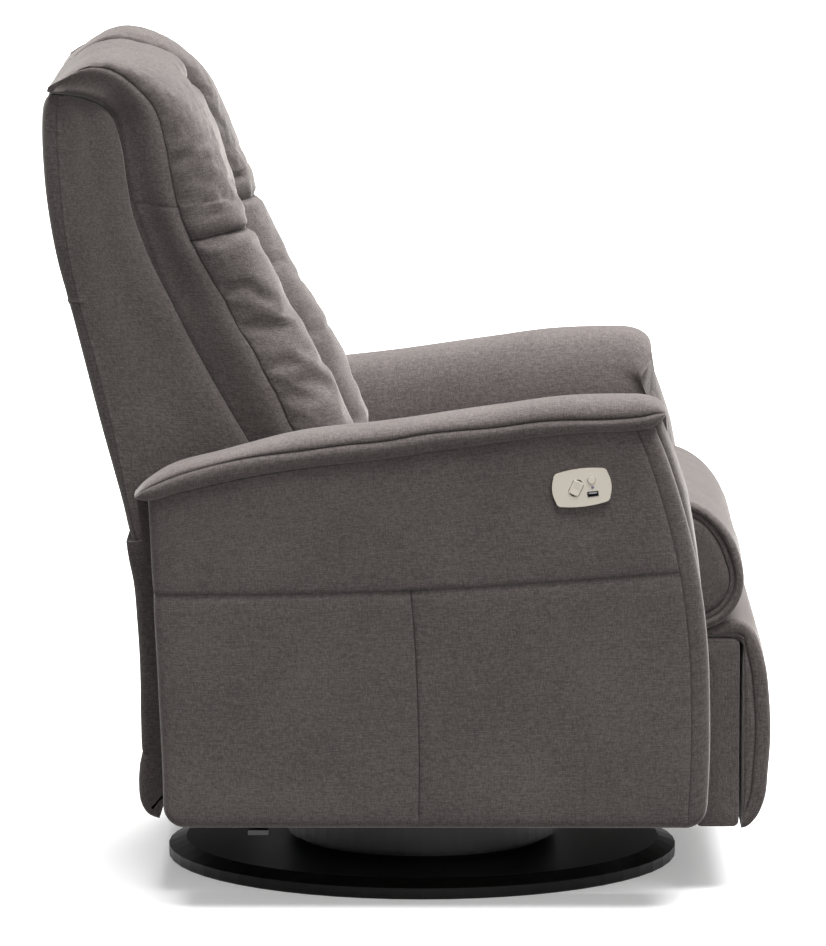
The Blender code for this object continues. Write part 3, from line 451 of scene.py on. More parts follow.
def fabric_material(name, dark, light):
    """A fine woven melange upholstery cloth with slubs, a soft sheen, darker stitching and painted shade in
    the creases between covers.
    """
    mat, tree, shader = new_material(name)
    source = node(tree, "ShaderNodeUVMap", uv_map="cloth").outputs["UV"]
    weft = streaks(tree, source, (130.0, 680.0, 680.0), 3.1)
    warp = streaks(tree, source, (640.0, 170.0, 640.0), 7.7)
    slub = streaks(tree, source, (30.0, 420.0, 420.0), 1.9)
    fleck = streaks(tree, source, (900.0, 900.0, 900.0), 5.3)
    drift = streaks(tree, source, (6.0, 6.0, 6.0), 9.1)
    yarn = math_node(tree, "MULTIPLY", weft, 0.3)
    for streak, share in ((warp, 0.26), (slub, 0.14), (fleck, 0.18), (drift, 0.1)):
        yarn = math_node(tree, "ADD", yarn, math_node(tree, "MULTIPLY", streak, share))
    ramp = colour_ramp(tree, yarn, (0.42, dark), (0.58, light))
    # the seam attribute darkens the cloth: real stitch lines, and painted shade in the creases between covers
    stitch_and_crease_shade = node(tree, "ShaderNodeAttribute", attribute_name="seam")
    sewn = node(tree, "ShaderNodeMix", data_type="RGBA")
    tree.links.new(math_node(tree, "MULTIPLY", stitch_and_crease_shade.outputs["Fac"], 0.8), sewn.inputs["Factor"])
    tree.links.new(ramp.outputs["Color"], sewn.inputs["A"])
    # the stitching's dark colour, also used for the painted crease shade
    sewn.inputs["B"].default_value = (0.006, 0.005, 0.005, 1.0)
    tree.links.new(sewn.outputs["Result"], shader.inputs["Base Color"])
    crossing = math_node(tree, "ADD", weft, warp)
    weave = math_node(tree, "ADD", math_node(tree, "MULTIPLY", fleck, 0.5), crossing)
    bump_node(tree, shader, weave, 0.55, 0.0006)
    rough = math_node(tree, "ADD", math_node(tree, "MULTIPLY", weft, 0.15), 0.78)
    tree.links.new(rough, shader.inputs["Roughness"])
    shader.inputs["Specular IOR Level"].default_value = 0.18
    shader.inputs["Sheen Weight"].default_value = SHEEN_WEIGHT
    shader.inputs["Sheen Roughness"].default_value = SHEEN_ROUGHNESS
    shader.inputs["Sheen Tint"].default_value = (1.0, 0.95, 0.91, 1.0)
    return mat


def grained_material(name, dark, light, scale, roughness, metallic=0.0, bump=0.05, stretch=(1.0, 1.0, 1.0),
                     spread=0.08, coat=0.0, specular=0.5):
    """A hard finish with its own grain: colour, roughness and bump come from noise in the object's space."""
    mat, tree, shader = new_material(name)
    place = node(tree, "ShaderNodeTexCoord")
    mapping = node(tree, "ShaderNodeMapping")
    mapping.inputs["Scale"].default_value = stretch
    tree.links.new(place.outputs["Object"], mapping.inputs["Vector"])
    grain = node(tree, "ShaderNodeTexNoise", Scale=scale, Detail=6.0, Roughness=0.6)
    tree.links.new(mapping.outputs["Vector"], grain.inputs["Vector"])
    ramp = colour_ramp(tree, grain.outputs["Fac"], (0.35, dark), (0.65, light))
    tree.links.new(ramp.outputs["Color"], shader.inputs["Base Color"])
    uneven = math_node(tree, "MULTIPLY", grain.outputs["Fac"], spread)
    tree.links.new(math_node(tree, "ADD", uneven, roughness - spread / 2), shader.inputs["Roughness"])
    bump_node(tree, shader, grain.outputs["Fac"], bump, 0.001)
    shader.inputs["Metallic"].default_value = metallic
    shader.inputs["Specular IOR Level"].default_value = specular
    shader.inputs["Coat Weight"].default_value = coat
    shader.inputs["Coat Roughness"].default_value = 0.08
    return mat


fabric = fabric_material("woven_fabric", (0.067, 0.0565, 0.0545), (0.148, 0.1275, 0.1225))
finishes = {
    "fabric": fabric,
    "lacquered_base": grained_material("black_lacquer", (0.0035, 0.0035, 0.0035), (0.007, 0.007, 0.007),
                                       60.0, 0.42, spread=0.06, bump=0.02, specular=0.16),
    "black_steel": grained_material("powder_coated_steel", (0.006, 0.006, 0.006), (0.012, 0.012, 0.012),
                                    900.0, 0.5, bump=0.25),
    "bright_steel": grained_material("zinc_plated_steel", (0.5, 0.5, 0.51), (0.66, 0.66, 0.66),
                                     220.0, 0.34, metallic=1.0, stretch=(1.0, 6.0, 1.0)),
    "rubber": grained_material("black_rubber", (0.012, 0.012, 0.012), (0.02, 0.02, 0.02),
                               500.0, 0.85, bump=0.3),
    "plywood": grained_material("birch_plywood", (0.42, 0.27, 0.14), (0.62, 0.45, 0.27), 18.0, 0.6,
                                stretch=(14.0, 1.0, 4.0), bump=0.12),
    "beige_plastic": grained_material("beige_moulding", (0.665, 0.605, 0.515), (0.72, 0.66, 0.57),
                                      1400.0, 0.42, bump=0.1),
    "black_plastic": grained_material("black_moulding", (0.01, 0.01, 0.011), (0.017, 0.017, 0.018),
                                      1200.0, 0.45, bump=0.12),
    "lens": grained_material("blue_lens", (0.01, 0.008, 0.1), (0.02, 0.015, 0.16),
                             300.0, 0.15, coat=0.6),
}
tongue_plastic = grained_material("white_moulding", (0.62, 0.62, 0.66), (0.72, 0.72, 0.76), 900.0, 0.4)


# ---------------------------------------------------------------- the arms

ARM_FRONT = [(-0.362, 0.128), (-0.365, 0.196), (-0.365, 0.258), (-0.362, 0.338), (-0.35, 0.433),
             (-0.329, 0.519), (-0.304, 0.593), (-0.296, 0.612), (-0.29, 0.63)]
ARM_REAR = [(0.326, 0.1), (0.326, 0.143), (0.331, 0.271), (0.338, 0.41), (0.343, 0.521), (0.345, 0.56)]
ARM_TOP = [(-0.32, 0.617), (-0.256, 0.615), (-0.151, 0.607), (0.001, 0.584), (0.147, 0.565),
           (0.249, 0.547), (0.3, 0.535), (0.35, 0.523)]
ARM_SEAM = [(-0.34, 0.436), (-0.175, 0.423), (0.001, 0.412), (0.152, 0.407), (0.345, 0.405)]
PAD_CREST = [(0.361, 0.53), (0.35, 0.544), (0.329, 0.559), (0.251, 0.584), (0.148, 0.609), (0.001, 0.628),
             (-0.1, 0.643), (-0.178, 0.653), (-0.257, 0.656), (-0.28, 0.655), (-0.294, 0.651),
             (-0.303, 0.645), (-0.3075, 0.6395), (-0.309, 0.636)]
PAD_SEAM = [(0.361, 0.529), (0.352, 0.5385), (0.326, 0.551), (0.275, 0.568), (0.223, 0.58), (0.147, 0.59),
            (0.095, 0.597), (0.044, 0.602), (0.001, 0.61), (-0.099, 0.62), (-0.151, 0.627), (-0.255, 0.631),
            (-0.28, 0.6335), (-0.3, 0.637), (-0.309, 0.6355)]
PAD_UNDER = [(0.361, 0.527), (0.35, 0.524), (0.3, 0.535), (0.249, 0.547), (0.147, 0.564), (0.001, 0.583),
             (-0.099, 0.598), (-0.203, 0.61), (-0.275, 0.615), (-0.29, 0.618), (-0.301, 0.624),
             (-0.307, 0.6305), (-0.309, 0.635)]
EDGE_R = 0.011               # rounding of the side panel's edges
CORNER_R = 0.028             # rounding of its lower corners, seen from the side
FRONT_BULGE = 0.011          # how far the arm's front is padded out under the pad's nose
POCKET_MARGIN = 0.006        # the control pocket is smaller than its plate by this much all round
POCKET_FLOOR = 0.0135        # and this deep
PANEL_DEPTH = 0.69           # the side panel's grid: its depth, its height, and the level seam's height
PANEL_HEIGHT = 0.5
PANEL_SEAM = 0.3
PANEL_MARGIN = 0.06          # columns this near the front or rear keep their distance from it
BORDER_SEAM = 0.0235         # the front border's seam, from the front edge
MIDDLE_SHARE = 0.53          # where the upright seam is, from front to rear
PANEL_X = ARM_OUT - 0.0015   # the side panel's face before it is padded out
INNER_R = 0.01              # rounding of the arm's inner edge
CREASE_AT = 0.013            # the crease round the arm's front, from its outer edge
PAD_DROP = 0.125             # how far the pad's inner side comes down from its crest
PAD_SEAM_KNOT = 5            # the pad's side seam, among the knots across the pad
PAD_CREST_KNOT = 10          # and its crest
PIPE_R = 0.004               # the cloth stays flat this near to the side seam

front_at = reading(ARM_FRONT, across=0, along=1)
rear_at = reading(ARM_REAR, across=0, along=1)
top_at = reading(ARM_TOP)
seam_at = reading(ARM_SEAM)
crest_at, side_seam_at, under_at = reading(PAD_CREST), reading(PAD_SEAM), reading(PAD_UNDER)


def rounding(distance, radius):
    """How far a rounded edge falls back at a distance from the edge."""
    inside = np.clip(radius - distance, 0.0, radius)
    return radius - np.sqrt(np.maximum(radius ** 2 - inside ** 2, 0.0))


def quarter(radius, steps=5):
    """Distances from an edge that spread points evenly over its rounding."""
    return [radius * (1 - math.cos(a)) for a in np.linspace(0, math.pi / 2, steps + 1)]


def turned(radius, degrees):
    """(Over, back) steps round a rounded edge, at angles from the face it leaves."""
    return [(radius * math.sin(a), radius * (1 - math.cos(a))) for a in np.radians(degrees)]


def leaning(points):
    """How far a cover's edge keeps from the arm's inner face, to stay within the pad's sloping side."""
    depth = np.array([float(crest_at(y)) for y in points[:, 1]]) - points[:, 2]
    return np.interp(depth, [0.004, 0.015, 0.034, 0.05, 0.066, 0.09, 0.125],
                     [0.072, 0.05, 0.034, 0.0185, 0.0085, 0.0035, -0.0002])


def panel_place(column, row):
    """(Y, Z) of a panel's grid place: columns keep to the front and rear, rows to the seam and the top."""
    bottom, margin = arm_lo.z + 0.0005, PANEL_MARGIN
    z = bottom + row
    for _ in range(3):
        front, rear = float(front_at(z)), float(rear_at(z))
        if column <= margin:
            y = front + column
        elif column >= PANEL_DEPTH - margin:
            y = rear - (PANEL_DEPTH - column)
        else:
            share = (column - margin) / (PANEL_DEPTH - 2 * margin)
            y = front + margin + share * (rear - front - 2 * margin)
        z_low = bottom + rounding(max(min(y - front, rear - y), 0.0), CORNER_R)
        z_seam, z_top = float(seam_at(y)), float(top_at(y))
        if row <= PANEL_SEAM:
            z = z_low + (z_seam - z_low) * (row / PANEL_SEAM)
            z = min(z, z_low + row) if row < 0.02 else z
        else:
            z = z_seam + (z_top - z_seam) * (row - PANEL_SEAM) / (PANEL_HEIGHT - PANEL_SEAM)
    return y, z


def arm_cover(side, name):
    """The side panel with its front, bottom and rear returns, sewn from four panels and a front border."""
    depth, seam = PANEL_DEPTH, PANEL_SEAM
    edge = quarter(EDGE_R)
    inner = stations(depth - 2 * EDGE_R, [BORDER_SEAM - EDGE_R, MIDDLE_SHARE * depth - EDGE_R])
    columns = np.array(edge[:-1] + list(inner + EDGE_R) + [depth - e for e in reversed(edge[:-1])])
    border_i = nearest(columns, BORDER_SEAM)
    middle_i = nearest(columns, MIDDLE_SHARE * depth)
    rows_low = stations(seam - EDGE_R) + EDGE_R
    rows_up = seam + stations(PANEL_HEIGHT - seam, [0.0])
    rows = np.concatenate((edge[:-1], rows_low[:-1], rows_up))
    seam_j = nearest(rows, seam)
    grid = np.zeros((len(columns), len(rows), 3))
    for i, column in enumerate(columns):
        for j, row in enumerate(rows):
            fall = rounding(min(column, depth - column), EDGE_R) + rounding(row, EDGE_R)
            grid[i, j] = (PANEL_X - min(fall, EDGE_R), *panel_place(column, row))
    panel = Patch(grid, (1, 0, 0))
    uu, vv = np.meshgrid(columns, rows, indexing="ij")
    soft_mask = ramp_up(np.minimum(uu, depth - uu), 0.0, 0.03) * ramp_up(vv, 0.0, 0.03)
    panel.push(0.0022 * soft_mask)
    raised = ramp_up(vv, 0.004, 0.01)
    panel.sew(0, border_i, mask=raised, pull=0.0012, depth=0.0013, show=0.7)
    panel.sew(1, seam_j, mask=ramp_up(uu, BORDER_SEAM, 0.004), pull=0.0008, depth=0.0011, show=0.6)
    panel.sew(0, middle_i, mask=(vv <= seam + 0.0005) * raised, pull=0.0012, depth=0.0015, show=1.0)
    panel.wrinkle(0.0012, 0.16, 0.12, mask=soft_mask, seed=1.0 + side)

    # The strip round the rear, bottom and front edges, across to the arm's inner face
    rim = np.concatenate((panel.grid[-1, ::-1], panel.grid[-2:0:-1, 0], panel.grid[0]))
    rim_front = len(panel.grid[-1]) + len(panel.grid) - 2
    across_span = PANEL_X - EDGE_R - ARM_IN - INNER_R
    # near the top the front stays within the pad, whose inner side leans out towards the crest
    lean = leaning(rim)
    squeeze = (across_span - lean) / across_span
    ribs = stations(across_span, [CREASE_AT])
    arc_in = turned(INNER_R, np.linspace(0, 90, 6)[1:])
    path = rim[:, 1:]
    ahead = np.gradient(path, axis=0)
    outward = np.stack((ahead[:, 1], -ahead[:, 0]), axis=1)
    outward /= np.linalg.norm(outward, axis=1, keepdims=True)
    centre = path.mean(axis=0)
    outward *= np.where(np.sum(outward * (path - centre), axis=1) < 0, -1.0, 1.0)[:, None]
    is_front = (np.arange(len(rim)) >= rim_front).astype(float)
    z = rim[:, 2]
    bulge = FRONT_BULGE * ramp_up(z, 0.4, 0.13) ** 1.2 * is_front
    strip = np.zeros((len(rim), len(ribs) + len(arc_in) + 2, 3))
    for j, rib in enumerate(ribs):
        crown = np.sin(math.pi * ramp_up(rib, 0.012, across_span - 0.012)) ** 0.6
        out = bulge * crown + 0.0016 * math.sin(math.pi * rib / across_span) * (1 - is_front)
        strip[:, j, 0] = rim[:, 0] - rib * squeeze
        strip[:, j, 1:] = path + outward * out[:, None]
    for k, (over, back) in enumerate(arc_in):
        j = len(ribs) + k
        strip[:, j, 0] = rim[:, 0] - across_span + lean - over
        strip[:, j, 1:] = path - outward * back
    for k, (x, back) in enumerate(((ARM_IN, INNER_R + 0.012), (ARM_IN + 0.012, INNER_R + 0.014))):
        j = len(ribs) + len(arc_in) + k
        strip[:, j, 0] = x + lean
        strip[:, j, 1:] = path - outward * back
    returns = Patch(strip, (0, 0, 0))
    direction = np.zeros(strip.shape)
    direction[:, :, 1:] = outward[:, None, :]
    returns.flip = 1.0 if np.sum(normals_of(strip) * direction) > 0 else -1.0
    crease = (ramp_up(z, 0.33, 0.1) * is_front)[:, None]
    returns.sew(1, nearest(ribs, CREASE_AT), mask=crease, pull=0.003, width=0.006)

    top_row = panel.grid[:, -1]
    far_edge = top_row * [0, 1, 1]
    far_edge[:, 0] = ARM_IN + 0.012 + leaning(top_row)
    patches = [panel, returns, Patch(np.stack((top_row, far_edge), axis=1), (0, 0, 1))]
    if side == RIGHT:
        centre_y, centre_z = (plate_lo.y + plate_hi.y) / 2, (plate_lo.z + plate_hi.z) / 2
        half_y = (plate_hi.y - plate_lo.y) / 2 - POCKET_MARGIN - 0.004
        half_z = (plate_hi.z - plate_lo.z) / 2 - POCKET_MARGIN - 0.004
        inside = ((np.abs(panel.grid[:, :, 1] - centre_y) < half_y)
                  & (np.abs(panel.grid[:, :, 2] - centre_z) < half_z))
        panel.grid[:, :, 0] = np.where(inside, ARM_OUT - POCKET_FLOOR, panel.grid[:, :, 0])
        near = np.hypot((panel.grid[:, :, 1] - centre_y) / (half_y + 0.03),
                        (panel.grid[:, :, 2] - centre_z) / (half_z + 0.03))
        panel.grid[:, :, 0] -= np.where(inside, 0.0, 0.0022 * np.clip(1.6 - near, 0, 1))
    for patch in patches:
        patch.grid = mirrored(side, patch.grid)
    ob = piece_from("arm_cover_" + name, patches, fabric)
    soft(ob, "chassis", ["arm_outer_panel_" + name])


def arm_rest(side, name):
    """The pad on top of the arm with its side seam, running over into the arm's inner face."""
    nose, heel = PAD_CREST[-1][0], PAD_CREST[0][0]
    nose_r, heel_r = 0.034, 0.02
    distance = stations(heel - nose)
    places = np.unique(np.concatenate((quarter(nose_r, 8), distance[distance > nose_r * 1.05],
                                       [heel - nose - e for e in quarter(heel_r, 6)])))
    inner_floor = inner_lo.z + 0.001
    rings = []
    for place in places:
        y = nose + place
        crest, seam, under = float(crest_at(y)), float(side_seam_at(y)), float(under_at(y))
        tuck = rounding(place, nose_r) * 0.75 + rounding(heel - nose - place, heel_r)
        out = PAD_OUT - tuck
        lip = 0.1 * (seam - under)
        shown = [(ARM_OUT - 0.006 - tuck, under + lip), (out - 0.005, under + lip),
                 (out - 0.0014, under + 0.45 * (seam - under)), (out - 0.0004, under + 0.78 * (seam - under)),
                 (out - 0.0012, seam - min(PIPE_R, 0.1 * (seam - under))), (out - 0.002, seam),
                 (out - 0.0022, seam + min(PIPE_R, 0.08 * (crest - seam))),
                 (out - 0.005, seam + 0.34 * (crest - seam)), (out - 0.015, seam + 0.7 * (crest - seam)),
                 (out - 0.031, seam + 0.925 * (crest - seam)), (out - 0.052, crest),
                 (out - 0.074, crest - 0.004), (out - 0.096, crest - 0.015),
                 (out - 0.113, crest - 0.034),
                 (out - 0.127 + tuck * 0.8, crest - 0.066), (ARM_IN + 0.0008, crest - PAD_DROP)]
        rings.append((y, tuck, under, crest, shown))
    rows_in = np.linspace(0, 1, 34)[1:]
    knots = np.array([r[4] for r in rings])
    run = run_along(knots[len(rings) // 2])
    fine_run = stations(run[-1], [run[PAD_SEAM_KNOT]], step=0.0055)
    around = len(fine_run)
    grid = np.zeros((len(rings), around + len(rows_in) + 4, 3))
    curve = between(knots, run, fine_run)[0]
    for i, (y, tuck, under, crest, shown) in enumerate(rings):
        share = (y - nose) / (heel - nose)
        grid[i, :around, 0] = curve[i, :, 0]
        grid[i, :around, 1] = y
        grid[i, :around, 2] = curve[i, :, 1]
        start = crest - PAD_DROP
        for j, row in enumerate(rows_in):
            z = start + (inner_floor - start) * row
            grid[i, around + j] = (ARM_IN + 0.0008 + 0.003 * row, y, z)
        hidden = [(ARM_IN + 0.012, inner_floor - 0.004), (ARM_IN + 0.04, inner_floor + 0.004),
                  (ARM_IN + 0.046, under - 0.004), (ARM_OUT - 0.012 - tuck, under + 0.0003)]
        for j, (x, z) in enumerate(hidden):
            grid[i, around + len(rows_in) + j] = (x, y, z)
        # below the pad the inner face follows the arm's own front and rear outlines
        z = grid[i, :, 2]
        low = np.clip((crest - 0.012 - z) / 0.036, 0, 1)
        lean = low * low * (3 - 2 * low) * (grid[i, :, 0] < ARM_IN + 0.05)
        front = front_at(np.minimum(z, 0.6)) + 0.0105
        rear = rear_at(z) - 0.006
        own = rear * share + front * (1 - share)
        grid[i, :, 1] = y + (own - y) * lean
    grid = closed_ring(grid)
    pad = Patch(grid, (0, 0, 0))
    pad.face((len(rings) // 2, nearest(fine_run, run[PAD_CREST_KNOT])), (0, 0, 1))
    seam_j = nearest(fine_run, run[PAD_SEAM_KNOT])
    ends = np.clip(np.minimum(places, heel - nose - places) / 0.02, 0, 1)[:, None]
    shown = (np.arange(grid.shape[1]) < around + len(rows_in))[None, :] * 1.0
    pad.sew(1, seam_j, mask=np.clip(ends + 0.3, 0, 1) * shown, pull=0.0018, width=0.008)
    pad.wrinkle(0.002, 0.11, 0.09, mask=ends * shown, seed=4.0 + side)
    pad.grid = mirrored(side, pad.grid)
    ob = piece_from("arm_rest_" + name, [pad], fabric)
    soft(ob, "chassis", ["arm_pad_" + name, "arm_inner_panel_" + name])


# ---------------------------------------------------------------- the back

WING = [  # the crease with the shell (Y, Z), the long seam (Y, Z), the crest (Y, Z)
    (0.168, 0.494, 0.12, 0.505, 0.058, 0.506),
    (0.222, 0.588, 0.162, 0.596, 0.093, 0.602),
    (0.267, 0.67, 0.199, 0.672, 0.133, 0.682),
    (0.317, 0.766, 0.252, 0.768, 0.183, 0.77),
    (0.346, 0.842, 0.292, 0.84, 0.2205, 0.852),
    (0.366, 0.9, 0.311, 0.896, 0.24, 0.907),
    (0.375, 0.95, 0.321, 0.951, 0.259, 0.961),
    (0.383, 0.992, 0.333, 1.000, 0.284, 1.015),
    (0.398, 1.012, 0.354, 1.03, 0.318, 1.05),
    (0.42, 1.023, 0.386, 1.055, 0.356, 1.069),
    (0.442, 1.027, 0.417, 1.062, 0.396, 1.0755),
    (0.462, 1.028, 0.445, 1.052, 0.433, 1.063),
    (0.474, 1.028, 0.474, 1.0305, 0.474, 1.032),
]
HEAD_ROW = 4                 # the row at which the head cushion meets the lumbar cushion
TOP_ROW = len(WING) - 1
CREASE_SHADE = 0.9           # how dark the painted shade is in the folds between two covers
WING_ROW_LENGTH = 0.104      # m between the lowest rows
END_ROLL = 0.024             # rounding of a cushion's end
wing_at = matched(WING)


def wing(side, name):
    """A wing of the back: a flat side to the long seam, a padded front, and a broad soft crest."""
    head = 0.085                                     # m of crest per row, near the head seam
    side_row = HEAD_ROW + 0.75                       # a faint seam on the wing's side
    extra = [row + d / head for row in (HEAD_ROW, side_row) for d in SEAM_CELLS]
    plain = [r for r in row_stations(wing_at, TOP_ROW)
             if min(abs(r - HEAD_ROW), abs(r - side_row)) > 0.012 / head]
    roll = [e / WING_ROW_LENGTH for e in quarter(END_ROLL, 6)]
    rows = np.array(sorted(roll + [r for r in plain if r > roll[-1] * 1.03] + extra))
    data = wing_at(rows)
    root, seam, crest = data[:, 0:2], data[:, 2:4], data[:, 4:6]
    broad = np.clip((rows - 4.5) / 3.0, 0, 1)[:, None]          # the crest is broader up at the head

    def level(h):
        """Points at height h from the crease to the crest, passing through the long seam's own place."""
        h_seam = 0.48
        off = seam - (root + (crest - root) * h_seam)
        return root + (crest - root) * h + off * math.exp(-((h - h_seam) / 0.28) ** 2)

    half = BACK_HALF + 0.0035
    # above the arms the wing swells out over the shell
    swell = (0.0075 * ramp_up(rows, 2.6, 1.2) * ramp_up(TOP_ROW - rows, 0.0, 1.0))[:, None]
    over = (0.0115 * ramp_up(rows, 7.2, 1.4) * ramp_up(TOP_ROW - rows, 0.0, 0.8))[:, None]
    profile = [  # |X| and height where slender, |X| and height where broad, and the share of the swelling
        (0.262, -0.12, 0.262, -0.1, 0.0), (half - 0.012, -0.09, half - 0.012, -0.08, 0.0),
        (half - 0.0115, 0.000, half - 0.013, 0.000, -1.4),
        (half - 0.007, 0.13, half - 0.008, 0.13, -0.9),
        (half - 0.0024, 0.26, half - 0.0028, 0.26, 0.75), (half, 0.4, half, 0.4, 1.0),
        (half - 0.0012, 0.48, half - 0.001, 0.48, 1.0), (half - 0.004, 0.57, half - 0.0032, 0.57, 0.95),
        (half - 0.012, 0.72, half - 0.009, 0.7, 0.8), (half - 0.024, 0.86, half - 0.019, 0.8, 0.5),
        (half - 0.04, 0.96, half - 0.033, 0.87, 0.2), (0.222, 0.999, half - 0.055, 0.93, 0.0),
        (0.2, 0.985, 0.203, 0.975, 0.0), (0.176, 0.925, 0.178, 1.000, 0.0),
        (0.156, 0.81, 0.154, 0.985, 0.0), (0.14, 0.65, 0.135, 0.88, 0.0),
        (0.129, 0.45, 0.127, 0.6, 0.0),
        (0.1245, 0.2, 0.1245, 0.25, 0.0), (0.1245, -0.01, 0.1245, -0.01, 0.0),
        (0.14, -0.12, 0.14, -0.1, 0.0),
    ]
    seam_k = 6
    knots = np.zeros((len(rows), len(profile), 3))
    for k, (x0, h0, x1, h1, part) in enumerate(profile):
        low, high = level(h0), level(h1)
        # a negative share is for the edge that laps over the shell, at the very top
        out = swell * part if part >= 0 else -part * over
        knots[:, k, 0] = (x0 + (x1 - x0) * broad + out)[:, 0]
        knots[:, k, 1:] = low + (high - low) * broad
    # the lower end is rolled in
    tuck = (rounding(rows * WING_ROW_LENGTH, END_ROLL) / END_ROLL)[:, None]
    middle = (root + 0.45 * (crest - root))[:, None]
    knots[:, :, 1:] = middle + (knots[:, :, 1:] - middle) * (1 - 0.62 * tuck[:, :, None])
    knots[:, :, 0] = 0.2 + (knots[:, :, 0] - 0.2) * (1 - 0.3 * tuck)
    grid, seam_j, columns = through(knots, seam_k)
    body = Patch(closed_ring(grid), (0, 0, 0), turn=True)
    body.face((len(rows) // 2, nearest(columns, 4.0)), (1, 0, 0))
    place = np.arange(len(columns) + 1)
    shown = ((place > nearest(columns, 1.5)) & (place < nearest(columns, 18.5)))[None, :] * 1.0
    cols = np.append(columns, 0.0)[None, :]
    front = ((cols > seam_k - 0.01) & (cols < 18)) * 1.0
    ends = ramp_up(np.minimum(rows, TOP_ROW - rows), 0.0, 0.6)[:, None]
    lumbar = (ramp_up(HEAD_ROW - rows, 0.0, 0.4) * ramp_up(rows, 0.0, 0.6))[:, None]
    pad_mask = falloff(cols - 10.5, 3.6) * front
    head_line = nearest(rows, HEAD_ROW)
    # held at its hidden sides, at its seams and at its ends, and lightly all over the head part
    held = np.maximum(1.0 - front, np.abs(cols - seam_k) < 0.02) * np.ones((len(rows), 1))
    held[head_line] = 1.0
    held = np.maximum(held, 1.0 - ramp_up(np.minimum(rows, TOP_ROW - 1.2 - rows), 0.0, 0.25)[:, None])
    held = np.maximum(held, 0.3 * ramp_up(rows, HEAD_ROW, 0.8)[:, None])
    most = np.interp(rows, HEAD_ROW + np.array([-0.5, 0.0, 1.2, 3.0]), [0.0085, 0.004, 0.003, 0.001])
    inflate(body, held, most, rows_kept=[head_line], cols_kept=[seam_j], slack=0.06)
    body.wrinkle(0.0035, 0.058, 0.12, mask=lumbar * pad_mask, slant=0.45, seed=2.0 + side)
    body.wrinkle(0.0025, 0.027, 0.05, mask=lumbar * pad_mask, slant=0.3, seed=8.0 + side)
    pucker = falloff(rows - HEAD_ROW - 0.45, 0.35)[:, None]
    body.wrinkle(0.003, 0.014, 0.045, mask=pucker * pad_mask, slant=0.1, seed=5.0 + side)
    body.wrinkle(0.0022, 0.085, 0.1, mask=ends * shown, seed=11.0 + side)
    wavy = 0.0016 * np.sin(rows * 9.0) * ramp_up(3.8 - rows, 0.0, 1.0)
    body.grid[:, :, 2] += wavy[:, None] * falloff(cols - seam_k, 1.0)
    body.sew(1, seam_j, mask=np.clip(ends * 4, 0, 1) * shown, pull=0.003, width=0.011)
    body.sew(0, head_line, mask=front, pull=0.003, width=0.009)
    side_part = ramp_up(cols, 2.0, 0.3) * (cols < seam_k)
    body.sew(0, nearest(rows, side_row), mask=side_part, pull=0.0004, depth=0.0007, width=0.006, show=0.3)
    # painted shade where the wing goes in behind the shell's edge
    painted_fold_shade = falloff(cols - 1.95, 0.16) * ramp_up(TOP_ROW - 0.3 - rows, 0.0, 0.5)[:, None]
    body.seam = np.maximum(body.seam, CREASE_SHADE * painted_fold_shade)
    body.grid = mirrored(side, body.grid)
    ob = piece_from("wing_" + name + "_cover", [body], fabric)
    soft(ob, "back", ["wing_" + name])


def centre_cushion(name, first, last, depth, replaced, channels):
    """A centre cushion of the back between two rows: crowned, rolled at its ends, with sewn channels."""
    half = WING_IN - 0.0045
    length = float(run_along(wing_at(np.linspace(first, last, 40))[:, 4:6])[-1])
    roll = 0.019
    marks = [c * length for c in channels]
    places = stations(length, marks)
    places = np.unique(np.concatenate((quarter(roll, 7), places[(places > roll) & (places < length - roll)],
                                       [length - e for e in quarter(roll, 7)])))
    lines = wing_at(np.linspace(first, last, 200))
    data = sampled(places, run_along(lines[:, 4:6]), lines)
    root, crest = data[:, 0:2], data[:, 4:6]
    at_top = last > TOP_ROW - 0.5
    # the head cushion runs out into the back's top edge, with no roll there
    end = places if at_top else np.minimum(places, length - places)
    shrink = (1 - rounding(end, roll) / roll * 0.82)[:, None]
    rise = [(0.97, -0.02), (1.0, 0.1), (1.0, 0.4), (0.975, 0.66), (0.9, 0.84), (0.76, 0.935),
            (0.5, 0.985), (0.2, 1.0)]
    profile = [(-x, h) for x, h in rise] + rise[::-1] + [(0.5, -0.05), (-0.5, -0.05)]
    knots = np.zeros((len(places), len(profile), 3))
    for k, (x, h) in enumerate(profile):
        high = depth * h
        knots[:, k, 0] = x * half
        knots[:, k, 1:] = root + (crest - root) * (high * shrink if h > 0 else high)
    grid, columns = through(knots, step=0.0075)
    cushion = Patch(closed_ring(grid), (0, 0, 0), turn=True)
    cushion.face((len(places) // 2, nearest(columns, 7.5)), (0, -1, 0))
    cols = np.append(columns, 0.0)[None, :]
    front = np.exp(-((cols - 7.5) / 5.0) ** 4)
    middle = ramp_up(np.minimum(end, (length - places) * 0.25), 0.0, 0.03)[:, None]
    held = np.maximum(1.0 - np.clip(front * 1.4, 0, 1), 1.0 - middle)
    marked = [nearest(places, mark) for mark in marks]
    held[marked] = 1.0
    inflate(cushion, held, 0.0055 if at_top else 0.008, rows_kept=marked, slack=0.05)
    cushion.wrinkle(0.004, 0.06, 0.13, mask=front * middle, slant=0.2, seed=21.0 + first)
    cushion.wrinkle(0.002, 0.03, 0.07, mask=front * middle, slant=-0.2, seed=31.0 + first)
    for index in marked:
        cushion.sew(0, index, mask=front, pull=0.0065, width=0.016)
    ob = piece_from(name, [cushion], fabric)
    soft(ob, "back", [replaced])


